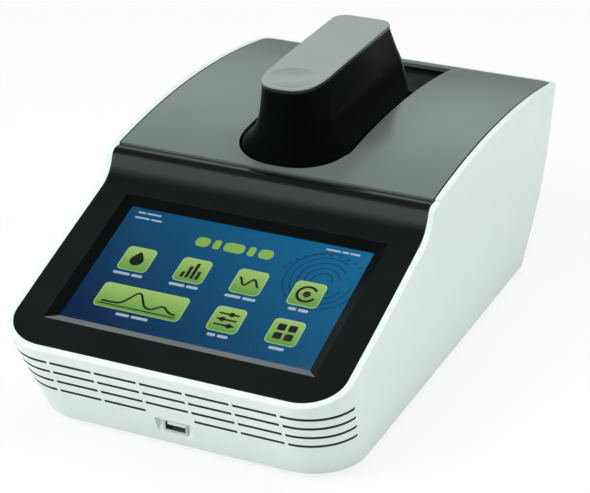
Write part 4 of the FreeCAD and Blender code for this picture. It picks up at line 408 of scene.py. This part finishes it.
def drop(x, y, size):
    """Drop: a circle whose upper half narrows by 0.45 sin^3 t and is drawn up to a point."""
    turn = np.linspace(0, 2 * np.pi, 41)[:-1]
    lift = np.maximum(0, np.sin(turn)) ** 3
    across = size * 0.62 * np.cos(turn) * (1 - 0.45 * lift)
    return np.stack([x + across, y + size * (0.62 * np.sin(turn) + 0.38 * lift)], 1)


def dashes(x, y, lengths, height, gap=0.0012):
    """Row of rounded dashes of the given lengths, centred on a point."""
    lengths = np.asarray(lengths)
    total = lengths.sum() + gap * (len(lengths) - 1)
    starts = x - total / 2 + np.concatenate([[0], np.cumsum(lengths + gap)[:-1]])
    return [rounded(a + w / 2, y, w, height, min(w, height) * 0.42) for a, w in zip(starts, lengths)]


def tile_set(grow):
    """Outlines of all tiles, grown or shrunk by a margin."""
    side, corner = TILE + 2 * grow, TILE_CORNER + grow
    plain = [rounded(x, ROW_UP[0], side, side, corner) for x in tile_x]
    plain += [rounded(x, ROW_UP[1], side, side, corner) for x in tile_x[2:]]
    return plain + [rounded(wide_x, ROW_UP[1], side + TILE_PITCH, side, corner)]


tile_x = [(step - 1.5) * TILE_PITCH - 0.001 for step in range(4)]
wide_x = (tile_x[0] + tile_x[1]) / 2
unit = np.linspace(-1, 1, 33)

# Signs in the order of the tiles: drop, bars, wave, dial, sliders, grid, and a curve on its base line.
signs = [drop(tile_x[0], ROW_UP[0] - 0.0008, 0.0068)]
for k, high in zip((-1.5, -0.5, 0.5, 1.5), (0.0045, 0.0095, 0.0125, 0.0065)):
    signs.append(rounded(tile_x[1] + k * 0.0031, ROW_UP[0] - 0.0062 + high / 2, 0.0021, high, 0.0006))
wave = 0.0026 * np.sin(unit * 1.5 * np.pi)
signs.append(ribbon(np.stack([tile_x[2] + unit * 0.0068, ROW_UP[0] + wave], 1), 0.0014))
signs.append(ring(tile_x[3], ROW_UP[0], 0.0056, 0.0017, 0.6, 5.9))
signs.append(rounded(tile_x[3], ROW_UP[0], 0.0046, 0.0046, 0.0022))
for k, shift in zip((-1, 0, 1), (0.0030, -0.0026, 0.0014)):
    signs.append(rounded(tile_x[2], ROW_UP[1] + k * 0.0042, 0.0126, 0.0013, 0.0006))
    signs.append(rounded(tile_x[2] + shift, ROW_UP[1] + k * 0.0042, 0.0034, 0.0034, 0.0016))
for kx in (-1, 1):
    for ky in (-1, 1):
        signs.append(rounded(tile_x[3] + kx * 0.0033, ROW_UP[1] + ky * 0.0033, 0.0050, 0.0050, 0.0010))
peaks = 0.0104 * np.exp(-(((unit + 0.15) / 0.22) ** 2))
peaks += 0.0042 * np.exp(-(((unit - 0.6) / 0.18) ** 2))
signs.append(ribbon(np.stack([wide_x + unit * 0.0232, ROW_UP[1] - 0.0048 + peaks], 1), 0.0014))
signs.append(rounded(wide_x, ROW_UP[1] - 0.0067, 0.0485, 0.0009, 0.0004))

captions = []
upper_lengths = ((0.0105, 0.0070), (0.0098, 0.0072), (0.0098, 0.0080), (0.0048, 0.0060))
for x, lengths in zip(tile_x, upper_lengths):
    captions += dashes(x, ROW_UP[0] - CAPTION_DROP, lengths, CAPTION_HIGH)
for x, lengths in zip([wide_x] + tile_x[2:], ((0.0085, 0.0105), (0.0050, 0.0065), (0.0090,))):
    captions += dashes(x, ROW_UP[1] - CAPTION_DROP, lengths, CAPTION_HIGH)
captions += dashes(0.0590, 0.1148, (0.0090, 0.0040, 0.0060), SMALL_HIGH, 0.0009)
captions += dashes(-0.0640, 0.1150, (0.0050, 0.0090), SMALL_HIGH, 0.0010)
captions += dashes(-0.0628, 0.1108, (0.0095, 0.0070), SMALL_HIGH, 0.0010)
heading = dashes(-0.0030, 0.1018, (0.0090, 0.0045, 0.0130, 0.0045, 0.0090), 0.0075, 0.0022)

# Ripples: five open rings, each turned a little further, under an arc of dots.
ripples = []
for k, radius in enumerate((0.006, 0.010, 0.014, 0.018, 0.022)):
    ripples.append(ring(RIPPLE_X, RIPPLE_UP, radius, 0.0008, 0.35 * k, 0.35 * k + 5.2))
for angle in np.linspace(0.2, 2.9, 14):
    dot_x, dot_up = RIPPLE_X + 0.0255 * math.cos(angle), RIPPLE_UP + 0.0205 * math.sin(angle)
    ripples.append(rounded(dot_x, dot_up, 0.0016, 0.0016, 0.0007))

picture_middle, picture_high = (PICTURE_START + PICTURE_END) / 2, PICTURE_END - PICTURE_START
picture = rounded(0, picture_middle, 2 * PICTURE_HALF, picture_high, 0.001)
picture_blue = glow("picture_blue", (0.003, 0.026, 0.095), (0.006, 0.240, 0.520), 0.66)
ripple_blue = glow("ripple_blue", (0.008, 0.030, 0.120), (0.008, 0.085, 0.270), 0.62)
rim_green = glow("rim_green", (0.50, 0.76, 0.28), (0.62, 0.88, 0.36), 0.80)
tile_green = glow("tile_green", (0.15, 0.42, 0.06), (0.48, 0.72, 0.20), 0.78, span="tile")
heading_green = glow("heading_green", (0.33, 0.62, 0.10), (0.45, 0.74, 0.16), 0.66)
sign_black = finish("sign_black", (0.010, 0.016, 0.010), 0.4, gloss=0.2)
caption_white = glow("caption_white", (0.60, 0.72, 0.86), (0.72, 0.84, 0.95), 0.66)
slabs("screen_picture", [picture], "picture", picture_blue)
slabs("screen_ripples", ripples, "ripples", ripple_blue)
slabs("screen_tile_rims", tile_set(0.0003), "rims", rim_green)
slabs("screen_tiles", tile_set(-0.0002), "tiles", tile_green)
slabs("screen_heading", heading, "tiles", heading_green)
slabs("screen_signs", signs, "signs", sign_black)
slabs("screen_captions", captions, "signs", caption_white)
dress(finish("screen_dark", (0.008, 0.016, 0.03), 0.25, smudge=0.05), "display_panel")


def clear(material):
    """Make a finish let the light through, as glass does, and give its shader."""
    shader = material.node_tree.nodes["Principled BSDF"]
    shader.inputs["Transmission Weight"].default_value = 1.0
    return shader


glass = finish("screen_glass", (0.93, 0.97, 0.98), 0.03, smudge=0.01, cloud=0.005, depth=2e-7)
clear(glass).inputs["IOR"].default_value = 1.45
dress(glass, "touch_glass")


# Display frame, boards and spacers: plated sheet steel and green glass-fibre boards in a stack
# under the panel, held by four screws into its bosses.

plated = finish("sheet_steel", (0.60, 0.60, 0.58), 0.32, metal=1.0, smudge=0.1,
                grain=700.0, depth=3e-6, stretch=(1, 12, 12))
dress(plated, "display_frame", "motor_bracket")

# Green solder mask, with the copper lines as the lighter joints of a brick pattern.
BOARD_GREEN = (0.012, 0.11, 0.045)
board_green = finish("board_green", BOARD_GREEN, 0.35, coat=0.3, grain=500.0, depth=4e-6)
tree = board_green.node_tree
cells = tree.nodes.new("ShaderNodeTexBrick")
cells.inputs["Scale"].default_value = 120.0
cells.inputs["Color1"].default_value = (*BOARD_GREEN, 1)
cells.inputs["Color2"].default_value = (0.010, 0.09, 0.04, 1)
cells.inputs["Mortar"].default_value = (0.05, 0.24, 0.09, 1)
cells.inputs["Mortar Size"].default_value = 0.06
link(tree, tree.nodes["Texture Coordinate"].outputs["Object"], cells.inputs["Vector"])
link(tree, cells.outputs["Color"], tree.nodes["Principled BSDF"].inputs["Base Color"])
dress(board_green, "display_board", "front_port_board", "main_board", "connector_board")

post_steel = finish("post_steel", (0.62, 0.60, 0.56), 0.25, metal=1.0, smudge=0.08, stretch=(8, 8, 1))
dress(post_steel, "display_spacers", "board_standoffs", "chassis_posts", "platform_posts")
screw_steel = finish("screw_steel", (0.58, 0.58, 0.60), 0.28, metal=1.0, smudge=0.1)
dress(screw_steel, "display_screws", "base_screws", "arm_screws")


# Front data port: a drawn steel shell round a white plastic tongue, soldered to its small board. It
# stands in its own recess under the vents. The rear port is made alike.

port_steel = finish("port_steel", (0.50, 0.52, 0.53), 0.20, metal=1.0, smudge=0.06, grain=900.0, depth=2e-6)
dress(port_steel, "front_port_shell", "rear_port_shell")
port_white = finish("port_white", (0.82, 0.83, 0.80), 0.4, grain=1200.0)
dress(port_white, "front_port_tongue", "rear_port_tongue")


# Deck cover: a crowned panel with a metallic grey paint under clear gloss. Its outermost strip along each
# side is coloured near black as painted shade, standing in for the shadowed seam along the white rim.

DECK_SHADE_EDGE = 0.0999


def masked(material, colour, mask):
    """Give a finish a second colour where the mask is 1."""
    tree = material.node_tree
    base = tree.nodes["Principled BSDF"].inputs["Base Color"]
    source = base.links[0].from_socket
    mixed = tree.nodes.new("ShaderNodeMix")
    mixed.data_type = "RGBA"
    link(tree, source, mixed.inputs["A"])
    mixed.inputs["B"].default_value = (*colour, 1.0)
    link(tree, mask, mixed.inputs["Factor"])
    link(tree, mixed.outputs["Result"], base)


def part_of(tree, coordinate, axis):
    """One axis of a finish's own texture coordinate."""
    node = tree.nodes.new("ShaderNodeSeparateXYZ")
    link(tree, tree.nodes["Texture Coordinate"].outputs[coordinate], node.inputs["Vector"])
    return node.outputs[axis]


deck_grey = finish("deck_grey", (0.255, 0.308, 0.298), 0.235, metal=0.55, coat=0.2, cloud=0.03,
                   smudge=0.03, grain=3000.0, depth=1e-6)
tree = deck_grey.node_tree
aside = measure(tree, "ABSOLUTE", part_of(tree, "Object", "X"))
# Painted shade: the deck turns near black in its outer 0.8 mm along each side, for the shadowed seam beside
# the rim.
masked(deck_grey, (0.002, 0.003, 0.003), measure(tree, "GREATER_THAN", aside, DECK_SHADE_EDGE))
dress(deck_grey, "deck_cover")


# Sample tray: black moulding with a fine texture that lies under the deck's slot. It shows behind the
# arm, and whole when the arm is up.

tray_black = finish("tray_black", (0.003, 0.0035, 0.0035), 0.38, gloss=0.1, cloud=0.1,
                    grain=1800.0, depth=1.2e-5)
dress(tray_black, "sample_tray")


# Arm: a piano-black moulding that flares out to the slot, closed by a light grey painted lid with a
# shallow finger dimple at its front. The lid's steep sides are coloured near black as painted shade, so only
# its top shows grey.

LID_SHADE_LEAN = 0.35

arm_black = finish("arm_black", (0.0016, 0.0022, 0.0026), 0.23, gloss=0.012, cloud=0.1, smudge=0.03,
                   grain=1400.0, depth=2e-6)
dress(arm_black, "arm_shell")

cap_grey = finish("cap_grey", (0.43, 0.485, 0.455), 0.24, metal=0.6, cloud=0.02, smudge=0.02,
                  grain=2500.0, depth=2e-6)
tree = cap_grey.node_tree
# Painted shade: where the lid's surface leans more than about 70 degrees from level, its colour turns near
# black.
shaded_lid_sides = measure(tree, "LESS_THAN", part_of(tree, "Normal", "Z"), LID_SHADE_LEAN)
masked(cap_grey, (0.006, 0.008, 0.008), shaded_lid_sides)
dress(cap_grey, "arm_cap")


# Arm frame, hinge bracket, platform, chassis and lift carriage: machined and cast aluminium, clear
# anodised, with the fine lines of the cutter. The processor's cooler is of the same metal.

alloy = finish("frame_aluminium", (0.70, 0.71, 0.72), 0.38, metal=1.0, smudge=0.1, grain=600.0,
               depth=5e-6, stretch=(1, 14, 1))
dress(alloy, "chassis_plate", "arm_platform", "hinge_bracket", "arm_frame", "lift_carriage",
      "processor_cooler")


# Hinge pin, guide rods and lead screw: ground steel bar. The pin turns with the arm, the rods guide the
# lift, and the screw's thread shows as fine rings.

THREAD_SCALE, THREAD_DEPTH = 500.0, 2e-4

ground = finish("ground_steel", (0.66, 0.67, 0.68), 0.16, metal=1.0, smudge=0.05, grain=1500.0, depth=1e-6)
dress(ground, "hinge_pin", "guide_rods")
threaded = finish("threaded_steel", (0.55, 0.55, 0.56), 0.3, metal=1.0)
tree = threaded.node_tree
rings = tree.nodes.new("ShaderNodeTexWave")
rings.bands_direction = "Z"
rings.inputs["Scale"].default_value = THREAD_SCALE
link(tree, tree.nodes["Texture Coordinate"].outputs["Object"], rings.inputs["Vector"])
thread_bump = tree.nodes.new("ShaderNodeBump")
thread_bump.inputs["Distance"].default_value = THREAD_DEPTH
link(tree, rings.outputs["Fac"], thread_bump.inputs["Height"])
link(tree, thread_bump.outputs["Normal"], tree.nodes["Principled BSDF"].inputs["Normal"])
dress(threaded, "lead_screw")


# Bushes and the inlet's centre pin: turned brass. Two bushes sit in the hinge bracket's ears, and one
# guides the lower pedestal.

brass = finish("turned_brass", (0.72, 0.52, 0.22), 0.25, metal=1.0, smudge=0.08, grain=900.0, depth=2e-6)
dress(brass, "hinge_bushes", "guide_bush", "inlet_pin")


# Pedestals and sample plate: polished stainless steel round the fibre ends that hold the drop. The plate
# lies in the tray, round the lower pedestal.

polished = finish("pedestal_steel", (0.68, 0.69, 0.70), 0.12, metal=1.0, smudge=0.05, grain=700.0, depth=1e-6)
dress(polished, "upper_pedestal", "lower_pedestal", "sample_plate")


# Lift motor: a small stepper motor with a stack of black laminations, held by its bracket. It turns the
# lead screw.

motor_black = finish("motor_black", (0.03, 0.03, 0.033), 0.45, metal=0.4, grain=1400.0, depth=2e-5,
                     stretch=(0.1, 0.1, 3))
dress(motor_black, "lift_motor")


# Optical bench and lamp: black anodised boxes with coated mirrors, a ruled grating, a line detector,
# and a clear flash lamp. The fibres have blue jackets.

bench_black = finish("bench_black", (0.025, 0.026, 0.028), 0.5, metal=0.6, grain=1500.0, depth=1e-5)
dress(bench_black, "optical_bench", "bench_lid", "lamp_housing")
mirror_coat = finish("mirror_coat", (0.88, 0.89, 0.91), 0.04, metal=1.0, smudge=0.02, depth=2e-7)
dress(mirror_coat, "bench_mirrors")
grating = finish("ruled_grating", (0.70, 0.74, 0.80), 0.15, metal=1.0, grain=5000.0, depth=4e-6,
                 stretch=(1, 0.01, 0.01))
dress(grating, "diffraction_grating")
dress(finish("chip_black", (0.02, 0.02, 0.022), 0.4, grain=2000.0, depth=8e-6), "line_detector")
lamp_glass = finish("lamp_glass", (0.92, 0.95, 0.97), 0.04, smudge=0.02, depth=2e-7)
clear(lamp_glass)
dress(lamp_glass, "flash_lamp")
fibre_jacket = finish("fibre_jacket", (0.03, 0.10, 0.34), 0.4, grain=1500.0, depth=6e-6)
dress(fibre_jacket, "arm_fibre", "detector_fibre", "lamp_fibre")


# Rear connector plate, fan, power inlet and rocker switch: textured black plastic. The plate closes the
# recess at the back, and the fan blows out through its slots.

rear_dark = finish("rear_dark", (0.022, 0.024, 0.025), 0.48, grain=1600.0, depth=1.5e-5)
dress(rear_dark, "rear_plate", "power_inlet", "switch_housing")
fan_black = finish("fan_black", (0.018, 0.018, 0.019), 0.42, grain=900.0, depth=6e-6)
dress(fan_black, "fan_frame", "fan_rotor")
dress(finish("rocker_black", (0.014, 0.015, 0.016), 0.22, grain=700.0, depth=2e-6), "power_rocker")


# Feet and arm bumpers: soft black rubber. The feet carry the base cover, and the arm comes to rest on the
# bumpers.

rubber = finish("rubber_black", (0.022, 0.022, 0.022), 0.75, grain=1300.0, depth=2e-5)
dress(rubber, "rubber_feet", "arm_bumpers")


# Studio: a white floor, three soft lamps, and a sky that is bright near the floor and dark overhead.
# The camera stands where the photographer's stood.

FLOOR_HALF = 6
FLOOR_GLOW = 0.82
AIM = (0, 0, 0.08)


def over_camera(tree, plain, seen, share):
    """Mix a shader with another one that only the camera sees, in the given share."""
    ray = tree.nodes.new("ShaderNodeLightPath")
    blend = tree.nodes.new("ShaderNodeMixShader")
    link(tree, measure(tree, "MULTIPLY", ray.outputs["Is Camera Ray"], share), blend.inputs["Fac"])
    link(tree, plain, blend.inputs[1])
    link(tree, seen, blend.inputs[2])
    return blend.outputs["Shader"]


corner_signs = ((-1, -1), (1, -1), (1, 1), (-1, 1))
floor_mesh = bpy.data.meshes.new("studio_floor")
floor_mesh.from_pydata([(a * FLOOR_HALF, b * FLOOR_HALF, 0) for a, b in corner_signs], [], [(0, 1, 2, 3)])
floor = bpy.data.objects.new("studio_floor", floor_mesh)
bpy.context.scene.collection.objects.link(floor)
floor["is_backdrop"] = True
floor_white = bpy.data.materials.new("floor_white")
floor_white.use_nodes = True
tree = floor_white.node_tree
paper = tree.nodes["Principled BSDF"]
paper.inputs["Base Color"].default_value = (0.88, 0.89, 0.88, 1)
paper.inputs["Roughness"].default_value = 0.9
white = tree.nodes.new("ShaderNodeEmission")
white.inputs["Color"].default_value = (1, 1, 1, 1)
lit = over_camera(tree, paper.outputs["BSDF"], white.outputs["Emission"], FLOOR_GLOW)
link(tree, lit, tree.nodes["Material Output"].inputs["Surface"])
floor_mesh.materials.append(floor_white)


def softbox(name, at, wide, high, watts):
    """Rectangular lamp at a point, turned to face the part. Only its light shows, not its mirror image."""
    data = bpy.data.lights.new(name, "AREA")
    data.shape = "RECTANGLE"
    data.size, data.size_y, data.energy = wide, high, watts
    lamp = bpy.data.objects.new(name, data)
    back = np.array(at, float) - np.array(AIM, float)
    back /= np.linalg.norm(back)
    right = np.cross((0, 0, 1), back)
    right /= np.linalg.norm(right)
    up = np.cross(back, right)
    turned = np.eye(4)
    turned[:3, 0], turned[:3, 1], turned[:3, 2], turned[:3, 3] = right, up, back, at
    lamp.matrix_world = Matrix(turned.tolist())
    lamp.visible_glossy = False
    bpy.context.scene.collection.objects.link(lamp)


def tinted(tree, colour, other, share):
    """A colour field mixed towards another colour by a share field."""
    node = tree.nodes.new("ShaderNodeMix")
    node.data_type = "RGBA"
    link(tree, share, node.inputs["Factor"])
    link(tree, colour, node.inputs["A"])
    node.inputs["B"].default_value = (*other, 1)
    return node.outputs["Result"]


softbox("key", (-0.95, -1.3, 1.5), 1.1, 1.1, 33.0)
softbox("top", (0.25, 0.15, 1.7), 1.5, 1.5, 15.0)
softbox("side", (1.5, 0.6, 0.9), 1.2, 1.0, 9.5)

# The sky's level over the height from 0 at the level of the part to 1 overhead, then a dusk behind the
# part near the floor, and a narrow darker gap between the lamps at the front right.
world = bpy.data.worlds.new("studio")
bpy.context.scene.world = world
world.use_nodes = True
tree = world.node_tree
sky = tree.nodes["Background"]
direction = tree.nodes.new("ShaderNodeTexCoord").outputs["Generated"]
height = tree.nodes.new("ShaderNodeSeparateXYZ")
link(tree, direction, height.inputs["Vector"])
ramp = tree.nodes.new("ShaderNodeValToRGB")
ramp.color_ramp.interpolation = "EASE"
stops = ramp.color_ramp.elements
stops[0].position, stops[0].color = 0.0, (0.55, 0.62, 0.60, 1)
stops[1].position, stops[1].color = 0.22, (0.85, 0.93, 0.90, 1)
for position, level in ((0.45, 0.85), (0.62, 0.36), (0.80, 0.07), (1.0, 0.05)):
    stop = stops.new(position)
    stop.color = (0.92 * level, level, 0.97 * level, 1)
link(tree, height.outputs["Z"], ramp.inputs["Fac"])
behind = measure(tree, "MAXIMUM", dot_with(tree, direction, (-0.42, 0.90, 0.0)), 0.0)
near_floor = tree.nodes.new("ShaderNodeMapRange")
near_floor.inputs["From Min"].default_value = 0.42
near_floor.inputs["From Max"].default_value = 0.05
link(tree, height.outputs["Z"], near_floor.inputs["Value"])
dusk = measure(tree, "MULTIPLY", behind, near_floor.outputs["Result"])
sky_colour = tinted(tree, ramp.outputs["Color"], (0.04, 0.06, 0.06), measure(tree, "MULTIPLY", dusk, 0.8))
between_lamps = measure(tree, "MAXIMUM", dot_with(tree, direction, (0.76, -0.65, -0.1)), 0.0)
gap = measure(tree, "MULTIPLY", measure(tree, "POWER", between_lamps, 4.0), 0.9)
sky_colour = tinted(tree, sky_colour, (0.06, 0.22, 0.24), gap)
link(tree, sky_colour, sky.inputs["Color"])
sky.inputs["Strength"].default_value = 0.75
backdrop = tree.nodes.new("ShaderNodeBackground")
backdrop.inputs["Color"].default_value = (1, 1, 1, 1)
lit = over_camera(tree, sky.outputs["Background"], backdrop.outputs["Background"], 1.0)
link(tree, lit, tree.nodes["World Output"].inputs["Surface"])

# The camera as solved from the case's straight edges: focal length in the photo's pixels, and place.
FOCAL_PIXELS, PHOTO_WIDTH, SENSOR = 2099.27, 590, 36

camera_data = bpy.data.cameras.new("camera")
camera_data.lens = FOCAL_PIXELS / PHOTO_WIDTH * SENSOR
camera_data.sensor_width = SENSOR
camera_data.sensor_fit = "HORIZONTAL"
camera_data.clip_start, camera_data.clip_end = 0.05, 50
camera = bpy.data.objects.new("camera", camera_data)
camera.matrix_world = Matrix((
    (0.906827, -0.178905, 0.381652, 0.482133),
    (0.421428, 0.401999, -0.812893, -1.027162),
    (-0.007993, 0.897992, 0.439939, 0.612893),
    (0, 0, 0, 1),
))
bpy.context.scene.collection.objects.link(camera)
bpy.context.scene.camera = camera
bpy.context.scene.view_settings.view_transform = "Standard"

low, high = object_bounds()
